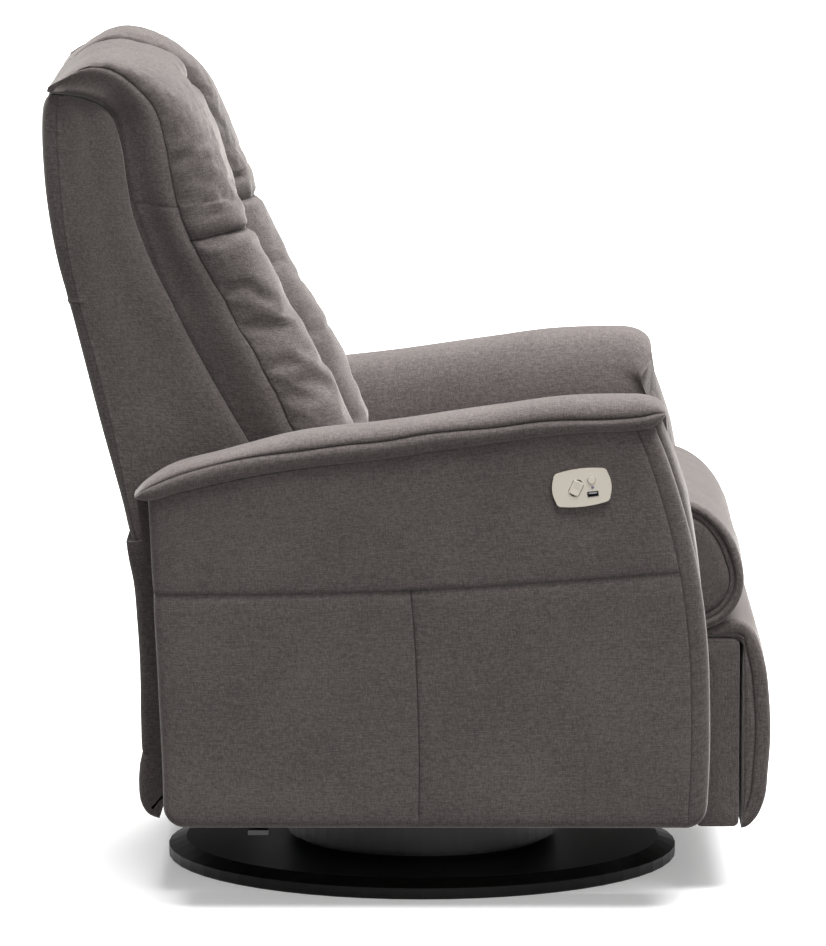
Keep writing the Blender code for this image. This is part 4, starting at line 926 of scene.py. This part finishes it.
SHELL = [  # the crease with the wings (Y, Z), the side seam (Y, Z), the rear outline (Y, Z)
    (0.172, 0.482, 0.358, 0.446, 0.3645, 0.445),
    (0.174, 0.492, 0.365, 0.464, 0.3745, 0.464),
    (0.192, 0.53, 0.373, 0.5, 0.3845, 0.508),
    (0.224, 0.59, 0.391, 0.59, 0.4075, 0.588),
    (0.271, 0.672, 0.413, 0.68, 0.431, 0.676),
    (0.318, 0.762, 0.4345, 0.76, 0.4515, 0.76),
    (0.345, 0.818, 0.446, 0.815, 0.465, 0.812),
    (0.364, 0.868, 0.454, 0.866, 0.4755, 0.864),
    (0.373, 0.915, 0.458, 0.912, 0.482, 0.912),
    (0.379, 0.955, 0.461, 0.955, 0.485, 0.958),
    (0.39, 0.993, 0.4615, 0.988, 0.4845, 0.992),
    (0.406, 1.01, 0.461, 1.008, 0.482, 1.01),
    (0.428, 1.019, 0.46, 1.018, 0.4775, 1.0195),
    (0.452, 1.0235, 0.462, 1.0235, 0.47, 1.024),
]
SHELL_SEAM_ROW = 5           # the row of the level seam across the rear
shell_at = matched(SHELL)


def back_cover():
    """The cover of the back's shell: two side panels, the rear wrapped round the corners, one level seam."""
    last = len(SHELL) - 1
    per_row = 0.082                        # m of outline per row, near the level seam
    plain = [r for r in row_stations(shell_at, last) if abs(r - SHELL_SEAM_ROW) > 0.012 / per_row]
    rows = np.array(sorted(plain + [SHELL_SEAM_ROW + d / per_row for d in SEAM_CELLS]))
    data = shell_at(rows)
    crease, seam, rear = data[:, 0:2], data[:, 2:4], data[:, 4:6]
    half = BACK_HALF
    profile = [(0.02, crease + (seam - crease) * 0.06), (0.0075, crease + (seam - crease) * 0.008),
               (0.0022, crease + (seam - crease) * 0.035), (0.0002, crease + (seam - crease) * 0.12),
               (0.0, crease + (seam - crease) * 0.45), (0.0005, seam),
               (0.0028, seam + (rear - seam) * 0.45), (0.0095, seam + (rear - seam) * 0.8),
               (0.023, seam + (rear - seam) * 0.96), (0.056, rear), (0.14, rear + [0.0022, 0.0])]
    knots = []
    for side, items in ((LEFT, profile), (RIGHT, profile[::-1])):
        for back, line in items:
            knots.append(np.column_stack((np.full(len(rows), side * (half - back)), line)))
    count = len(knots)
    grid, *seams, columns = through(np.stack(knots, axis=1), 5, count - 6)
    cover = Patch(closed_ring(grid), (0, 1, 0), turn=True)
    # this cover's normals look inward: its rear is drawn in a little, and its seams stand up as welts
    cover.face((len(rows) // 2, nearest(columns, count / 2)), (0, -1, 0))
    cols = np.append(columns, 0.0)[None, :]
    shown = ((cols > 1.5) & (cols < count - 2.5)) * 1.0
    rear_part = ((cols > 4.9) & (cols < count - 5.9)) * 1.0
    ends = ramp_up(np.minimum(rows, last - rows), 0.0, 0.5)[:, None]
    cover.push(0.003 * falloff(cols - (count - 1) / 2, 4.0) * ends)
    cover.wrinkle(0.0018, 0.15, 0.13, mask=ends * shown, seed=41.0)
    for seam_j in seams:
        cover.sew(1, seam_j, mask=shown, pull=0.0006, width=0.006, depth=0.001, show=0.5)
    seam_i = nearest(rows, SHELL_SEAM_ROW)
    cover.sew(0, seam_i, mask=rear_part, pull=0.0004, width=0.008, depth=0.001, show=0.8)
    # painted shade where the cover turns inward at its edges beside the wings
    inward = np.maximum(1.3 - cols, cols - (count - 2.3))
    cover.seam = np.maximum(cover.seam, CREASE_SHADE * ramp_up(inward, 0.0, 0.5))
    ob = piece_from("back_cover", [cover], fabric)
    soft(ob, "back", ["back_shell"])


def gusset():
    """The strip of cloth that closes the space between the seat and the back."""
    low, high = np.array((0.124, 0.45)), np.array((0.134, 0.53))
    half, thick = BACK_HALF - 0.01, 0.006
    along = np.linspace(0, 1, 16)
    hollow = 0.01 * np.sin(math.pi * along)
    line = low + (high - low) * along[:, None] + np.stack((hollow, 0 * hollow), axis=1)
    normal = np.array((high - low)[::-1]) * (1, -1)
    normal /= np.linalg.norm(normal)
    width = stations(2 * half) - half
    front = np.zeros((len(along), len(width), 3))
    rear = np.zeros(front.shape)
    front[:, :, 0] = rear[:, :, 0] = width
    front[:, :, 1:] = (line - normal * thick / 2)[:, None]
    rear[:, :, 1:] = (line + normal * thick / 2)[:, None]
    strip = Patch(closed_ring(np.concatenate((front, rear[:, ::-1]), axis=1)), (0, 0, 0))
    strip.face((len(along) // 2, len(width) // 2), (0, *-normal))
    strip.wrinkle(0.002, 0.08, 0.08, mask=np.sin(math.pi * along)[:, None], seed=91.0)
    ob = piece_from("back_gusset", [strip], fabric)
    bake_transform(ob)


SKIRT_LINE = [(0.377, 0.453), (0.374, 0.43), (0.369, 0.405), (0.3635, 0.35), (0.3605, 0.3),
              (0.3595, 0.24), (0.359, 0.186), (0.3615, 0.16), (0.3625, 0.138), (0.359, 0.113),
              (0.35, 0.1), (0.336, 0.0945)]

SKIRT_SEAM_Z = 0.18


def rear_cover():
    """The skirt across the back of the chassis, puffed below its level seam."""
    path = spline(SKIRT_LINE)(np.linspace(0, 1, 400))
    run = run_along(path)
    mark = float(np.interp(-SKIRT_SEAM_Z, -path[:, 1], run))
    places = stations(run[-1], [mark])
    outer = sampled(places, run, path)
    ahead = np.gradient(outer, axis=0)
    back = np.stack((ahead[:, 1], -ahead[:, 0]), axis=1)
    back /= np.linalg.norm(back, axis=1, keepdims=True)
    back *= np.where(np.sum(back * [-1, 0.2], axis=1) < 0, -1, 1)[:, None]
    half, r, thick = SKIRT_HALF, 0.01, 0.011
    width = stations(2 * (half - r))
    across = [(-half + r - over, back) for over, back in turned(r, np.linspace(90, 0, 6))]
    spread = across + [(-half + r + w, 0.0) for w in width[1:-1]] + [(-x, d) for x, d in reversed(across)]
    reach = 0.036                          # the cover turns forward to the arms at its sides
    closing = [(half, reach), (half - 0.005, reach), (half - 0.005, thick), (-half + 0.005, thick),
               (-half + 0.005, reach), (-half, reach)]
    grid = np.zeros((len(places), len(spread) + 7, 3))
    for j, (x, d) in enumerate(spread + closing + spread[:1]):
        grid[:, j, 0] = x
        grid[:, j, 1:] = outer + back * d
    skirt = Patch(grid, (0, 0, 0), turn=True)
    skirt.face((len(places) // 2, len(spread) // 2), (0, 1, 0))
    shown = (np.arange(grid.shape[1]) < len(spread))[None, :] * 1.0
    ends = ramp_up(np.minimum(places, places[-1] - places), 0.0, 0.02)[:, None]
    skirt.sew(0, nearest(places, mark), mask=shown, pull=0.0018, width=0.01, depth=0.0014, show=0.8)
    skirt.wrinkle(0.0016, 0.1, 0.14, mask=shown * ends, seed=51.0)
    ob = piece_from("rear_cover", [skirt], fabric)
    soft(ob, "chassis", ["rear_skirt"])


# ---------------------------------------------------------------- the seat and the legrest

ROLL_CENTRE = (-0.346, 0.404)
ROLL_R = 0.0665
END_EDGE = 0.0085            # rounding of a cushion's sewn end


def seat_outline():
    """(Y, Z) round the seat cushion from under its rear, round the front roll, and back over the top."""
    y0, z0 = ROLL_CENTRE
    arc = [(y0 + ROLL_R * math.cos(a), z0 + ROLL_R * math.sin(a))
           for a in np.radians(np.linspace(258, 178, 9))]
    top = [(-0.4085, 0.43), (-0.4005, 0.453), (-0.386, 0.475), (-0.367, 0.493), (-0.347, 0.504),
           (-0.322, 0.5105), (-0.28, 0.5135), (-0.2, 0.512), (-0.06, 0.5), (0.04, 0.481),
           (0.105, 0.472), (0.13, 0.462), (0.1405, 0.44), (0.142, 0.4), (0.138, 0.36), (0.12, 0.3405),
           (0.08, 0.338)]
    return arc + top + [(-0.1, 0.3378), (-0.25, 0.3378), (-0.32, 0.3378)]


def end_profile(half, seams):
    """(|X|, inset) at a cushion's end: the rolled edge, one seam or a sunk strip between two, the panel."""
    edge = END_EDGE
    roll = [(half - edge + over, back) for over, back in turned(edge, [0, 22, 45, 66, 82])]
    if seams == 1:
        return roll + [(half - 0.0002, 0.011), (half - 0.0002, 0.015), (half - 0.001, 0.018),
                       (half - 0.0026, 0.02), (half - 0.0012, 0.0218), (half - 0.0006, 0.025),
                       (half, 0.032)]
    return roll + [(half - 0.0008, 0.0102), (half - 0.003, 0.0118), (half - 0.0044, 0.0126),
                   (half - 0.004, 0.0145), (half - 0.004, 0.018), (half - 0.0046, 0.0196),
                   (half - 0.0062, 0.0205), (half - 0.0046, 0.0214), (half - 0.003, 0.0228),
                   (half - 0.002, 0.025), (half - 0.0012, 0.029), (half - 0.0006, 0.036)]


def both_sides(rows):
    """The rows from the chair's middle out, and before them the same rows mirrored."""
    side = np.array(rows)
    return np.concatenate((side[:0:-1] * [-1, 1, 1], side), axis=0)


def capped_roll(name, outline, spine, half, body, replaced, top_crown, wrinkles, seams=2):
    """A cushion whose outline runs across the chair, with sewn ends."""
    fine = spline(outline + outline[:1])(np.linspace(0, 1, 700))
    run = run_along(fine)
    ring = sampled(stations(run[-1], step=0.0068), run, fine)
    inward = spine(ring) - ring
    reach = np.linalg.norm(inward, axis=1, keepdims=True)
    inward = inward / np.maximum(reach, 1e-9)
    columns = [(x, 0.0) for x in stations(half - END_EDGE)[:-1]] + end_profile(half, seams)
    x_list, inset = np.array(columns).T
    last_steps = [(half - 0.0014, 0.45), (half - 0.001, 0.75), (half - 0.0008, 1.0)]
    rows = []
    for x, d in zip(x_list, inset):
        rows.append(np.column_stack((np.full(len(ring), x), ring + inward * np.minimum(d, reach * 0.92))))
    gap = np.minimum(inset[-1], reach * 0.92)
    for x, share in last_steps:
        rows.append(np.column_stack((np.full(len(ring), x), ring + inward * (gap + (reach - gap) * share))))
    grid = both_sides(rows)
    cushion = Patch(grid, (0, 0, 0))
    cushion.face((len(rows) - 1, int(np.argmax(ring[:, 1]))), (0, 0, 1))
    x_all = np.abs(grid[:, :, 0])
    inner = np.clip((half - 0.012 - x_all) / 0.03, 0, 1)
    crown = top_crown * (1 - (x_all / half) ** 2) * (x_all < half - 0.0083)
    cushion.push(crown * crown_mask(ring, name)[None, :])
    for size, along, across, slant, seed in wrinkles:
        cushion.wrinkle(size, along, across, mask=inner, slant=slant, seed=seed)
    hidden = [0.0] * len(last_steps)
    depth = np.concatenate((hidden, inset[::-1], inset[1:], hidden))
    strip = falloff(depth - 0.0202, 0.0008)
    if seams == 2:
        strip = strip + falloff(depth - 0.0122, 0.001)
    cushion.seam = np.clip(np.broadcast_to(strip[:, None], cushion.seam.shape), 0, 1).copy()
    cushion.turn = True
    ob = piece_from(name, [cushion], fabric)
    soft(ob, body, replaced)
    return ob


def crown_mask(ring, name):
    """Where a cushion's surface may swell: not where it rests on its board or meets its neighbour."""
    if name == "seat_cover":
        sides = ramp_up(ring[:, 0], -0.37, 0.1) * ramp_up(0.1 - ring[:, 0], 0.0, 0.05)
        return sides * (ring[:, 1] > 0.42)
    return ramp_up(-0.418 - ring[:, 0], 0.0, 0.015)


def seat_spine(ring):
    """The line to which the seat's end is drawn in: the roll's middle and the seat's mid height."""
    y = np.clip(ring[:, 0], -0.352, 0.105)
    z = np.interp(ring[:, 0], [-0.352, -0.3, -0.1, 0.1], [0.424, 0.424, 0.42, 0.405])
    return np.stack((y, z), axis=1)


LEG_UNDERSIDE = 0.328        # the underside of the flap that the pad has over the block
LEG_REAR = -0.4108           # the pad's rear face, just ahead of the block
LEG_OUTLINE = [(LEG_REAR, 0.08), (-0.417, 0.0815), (-0.43, 0.094), (-0.44, 0.116), (-0.445, 0.157),
               (-0.448, 0.209), (-0.446, 0.25), (-0.4405, 0.295), (-0.435, 0.315), (-0.4285, 0.3325),
               (-0.418, 0.345), (-0.404, 0.352), (-0.39, 0.3495), (-0.375, 0.342), (-0.362, 0.3385),
               (-0.358, 0.3345), (-0.362, 0.33), (-0.385, 0.3285), (-0.4, 0.327), (LEG_REAR, 0.32),
               (LEG_REAR - 0.0005, 0.3), (LEG_REAR - 0.0005, 0.2), (LEG_REAR - 0.0003, 0.11)]


def leg_spine(ring):
    """The line to which the legrest pad's end is drawn in."""
    z = np.clip(ring[:, 1], 0.1, 0.325)
    y = np.full(len(ring), LEG_REAR - 0.002)
    over = (ring[:, 0] > LEG_REAR + 0.002) & (ring[:, 1] > 0.3)
    y = np.where(over, np.minimum(ring[:, 0], -0.364), y)
    z = np.where(over, 0.3325, z)
    return np.stack((y, z), axis=1)


def legrest_block():
    """The padded block behind the legrest pad: a soft box with rounded edges."""
    lo, hi = block_lo.copy(), block_hi.copy()
    hi.z = LEG_UNDERSIDE - 0.0015
    lo.y -= 0.0014
    r = 0.008
    outline = []
    corners = [((hi.y - r, lo.z + r), 270), ((hi.y - r, hi.z - r), 0), ((lo.y + r, hi.z - r), 90),
               ((lo.y + r, lo.z + r), 180)]
    for (y, z), start in corners:
        for a in np.radians(np.linspace(start, start + 90, 6)):
            outline.append((y + r * math.cos(a), z + r * math.sin(a)))
    line = np.array(outline + outline[:1])
    run = run_along(line)
    ring = sampled(np.unique(np.concatenate((stations(run[-1]), run))), run, line)
    centre = np.column_stack((np.full(len(ring), (lo.y + hi.y) / 2),
                              np.clip(ring[:, 1], lo.z + 0.03, hi.z - 0.03)))
    half, edge = block_hi.x, 0.002
    rows = [(x, 0.0) for x in stations(half - edge)[:-1]]
    rows += [(half - edge + over, back) for over, back in turned(edge, np.linspace(0, 90, 6))]
    rows += [(half + 0.0006, 0.016), (half + 0.0012, 0.022)]
    pull = (centre - ring) / np.linalg.norm(centre - ring, axis=1, keepdims=True)
    side = [np.column_stack((np.full(len(ring), x), ring + pull * inset)) for x, inset in rows]
    side.append(np.column_stack((np.full(len(ring), half + 0.0014), centre)))
    grid = both_sides(side)
    block = Patch(grid, (0, 0, 0))
    block.face((len(side), int(np.argmax(ring[:, 1]))), (0, 0, 1))
    mask = ramp_up(half - np.abs(grid[:, :, 0]), 0.0, 0.02)
    block.wrinkle(0.0012, 0.09, 0.09, mask=mask, seed=61.0)
    block.turn = True
    ob = piece_from("legrest_block_cover", [block], fabric)
    soft(ob, "legrest", ["legrest_block"])


for side, name in ((RIGHT, "right"), (LEFT, "left")):
    arm_cover(side, name)
    arm_rest(side, name)
    wing(side, name)
centre_cushion("head_cover", HEAD_ROW + 0.03, float(TOP_ROW), 0.86, "head_cushion", [0.45])
centre_cushion("lumbar_cover", 0.1, HEAD_ROW + 0.01, 0.82, "lumbar_cushion", [0.36, 0.7])
back_cover()
gusset()
rear_cover()
capped_roll("seat_cover", seat_outline(), seat_spine, SEAT_HALF - 0.0035, "carriage", ["seat_cushion"], 0.005,
            [(0.0035, 0.12, 0.1, 0.2, 71.0), (0.0016, 0.06, 0.045, 0.3, 72.0)])
capped_roll("legrest_cover", LEG_OUTLINE, leg_spine, LEG_HALF - 0.001, "legrest", ["legrest_pad"], 0.001,
            [(0.002, 0.12, 0.1, 0.2, 81.0)], seams=1)
legrest_block()


# ---------------------------------------------------------------- hard parts

ROCKER_LEAN = math.radians(25)
ROCKER_SIZE = (0.0139, 0.0186)          # m across and along
ROCKER_PROUD = 0.0014                   # how far it stands out of the plate
ROCKER_BOW = 0.22                       # how much its sides are bowed
SOCKET_TURN = math.radians(-7)
TONGUE_SIZE = (0.014, 0.0104, 0.0019)  # m deep, wide and high


def rocker():
    """The two-way rocker of the control plate: bowed sides, rounded edges, a line across its middle."""
    lo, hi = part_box("rocker")
    centre_y, centre_z = (lo.y + hi.y) / 2, (lo.z + hi.z) / 2
    spread = np.sin(np.linspace(-1, 1, 33) * math.pi / 2)
    line = np.array([-0.05, -0.03, -0.012, 0.0, 0.012, 0.03, 0.05])
    along = np.concatenate((spread[np.abs(spread) > 0.08], line))
    u, v = np.meshgrid(spread, np.sort(along), indexing="ij")
    half_across, half_up = ROCKER_SIZE[0] / 2, ROCKER_SIZE[1] / 2
    across = half_across * u * np.sqrt(1 - ROCKER_BOW * v ** 2 / 2)
    up = half_up * v * np.sqrt(1 - ROCKER_BOW * u ** 2 / 2)
    rim = np.minimum((1 - np.abs(u)) * half_across, (1 - np.abs(v)) * half_up)
    sink = rounding(rim, 0.0011) + 0.0004 * np.exp(-(v / 0.018) ** 2) + 0.0005 * (1 - v ** 2) * (1 - u ** 2)
    grid = np.zeros((*u.shape, 3))
    grid[:, :, 0] = plate_lo.x - ROCKER_PROUD + sink
    grid[:, :, 1] = centre_y - across * math.cos(ROCKER_LEAN) - up * math.sin(ROCKER_LEAN)
    grid[:, :, 2] = centre_z - across * math.sin(ROCKER_LEAN) + up * math.cos(ROCKER_LEAN)
    face = Patch(grid, (-1, 0, 0))
    edge = np.concatenate((grid[:-1, 0], grid[-1, :-1], grid[:0:-1, -1], grid[0, ::-1]))
    inner = edge.copy()
    inner[:, 0] = hi.x
    wall = np.stack((edge, inner), axis=1)
    skirt = Patch(wall, (0, 0, 0))
    away = edge - edge.mean(axis=0)
    skirt.flip = 1.0 if np.sum(normals_of(wall)[:, 0] * away) > 0 else -1.0
    ob = piece_from("rocker_cap", [face, skirt], finishes["beige_plastic"])
    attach(ob, "rocker")
    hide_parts("rocker")


def usb_tongue():
    """The pale tongue in the upper half of the USB socket's mouth."""
    lo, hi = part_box("usb_socket")
    bm = bmesh.new()
    bmesh.ops.create_cube(bm, size=1.0)
    bmesh.ops.scale(bm, vec=TONGUE_SIZE, verts=bm.verts)
    bmesh.ops.bevel(bm, geom=bm.edges, offset=0.0003, segments=2, affect="EDGES")
    me = bpy.data.meshes.new("usb_tongue")
    bm.to_mesh(me)
    bm.free()
    ob = bpy.data.objects.new("usb_tongue", me)
    me.materials.append(tongue_plastic)
    ob.location = (lo.x + 0.0022 + TONGUE_SIZE[0] / 2, (lo.y + hi.y) / 2, (lo.z + hi.z) / 2 + 0.001)
    ob.rotation_euler.x = SOCKET_TURN
    scene.collection.objects.link(ob)
    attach(ob, "chassis")


rocker()
usb_tongue()

slot_of = {row["node"]: row["material_slot"] for row in frame["record"]["subparts"]}


def finish_node(name, ob):
    """Gives a CAD node its finish, with smooth shading between its sharp edges."""
    ob.data.materials.clear()
    ob.data.materials.append(finishes[slot_of.get(name, "black_steel")])
    ob.data.shade_smooth()
    ob.data.set_sharp_from_angle(angle=math.radians(30))


for name, ob in frame["nodes"].items():
    finish_node(name, ob)


# ---------------------------------------------------------------- floor, light, camera

def plane(name, size, z, material):
    """A level plane of the stage that throws no light back on the chair."""
    me = bpy.data.meshes.new(name)
    bm = bmesh.new()
    bmesh.ops.create_grid(bm, x_segments=1, y_segments=1, size=size)
    bm.to_mesh(me)
    bm.free()
    ob = bpy.data.objects.new(name, me)
    ob.location.z = z
    scene.collection.objects.link(ob)
    me.materials.append(material)
    ob.visible_diffuse = False


floor_material, tree, shader = new_material("pale_floor")
shader.inputs["Base Color"].default_value = (0.86, 0.86, 0.86, 1.0)
shader.inputs["Roughness"].default_value = 0.9
shader.inputs["Specular IOR Level"].default_value = 0.0
shader.inputs["Emission Color"].default_value = (1.0, 1.0, 1.0, 1.0)
shader.inputs["Emission Strength"].default_value = 0.3
plane("floor", 60.0, -0.0005, floor_material)


def sun(name, direction, strength, angle):
    data = bpy.data.lights.new(name, "SUN")
    data.energy = strength
    data.angle = math.radians(angle)
    lamp = bpy.data.objects.new(name, data)
    lamp.rotation_euler = Vector(direction).to_track_quat("-Z", "Y").to_euler()
    scene.collection.objects.link(lamp)


sun("key_light", (0.04, 0.14, -1.0), 7.2, 50)
sun("rim_light", (-0.55, 0.3, -0.85), 2.1, 40)
sun("fill_light", (0.88, 0.48, -0.28), 0.86, 60)
world = bpy.data.worlds.new("studio")
world.use_nodes = True
world.node_tree.nodes["Background"].inputs["Color"].default_value = (1.0, 1.0, 1.0, 1.0)
world.node_tree.nodes["Background"].inputs["Strength"].default_value = 0.25
scene.world = world
scene.view_settings.view_transform = "Standard"

CAMERA_PLACE = (-9.685, -0.0336, 1.809)
CAMERA_FORWARD = (0.99104, 0.00466, -0.13347)
CAMERA_LENS = 283.5          # mm, on a 36 mm sensor
camera_data = bpy.data.cameras.new("camera")
camera_data.lens = CAMERA_LENS
camera_data.sensor_width = 36.0
camera_data.clip_end = 200.0
camera = bpy.data.objects.new("camera", camera_data)
camera.location = CAMERA_PLACE
camera.rotation_euler = Vector(CAMERA_FORWARD).to_track_quat("-Z", "Y").to_euler()
scene.collection.objects.link(camera)
scene.camera = camera
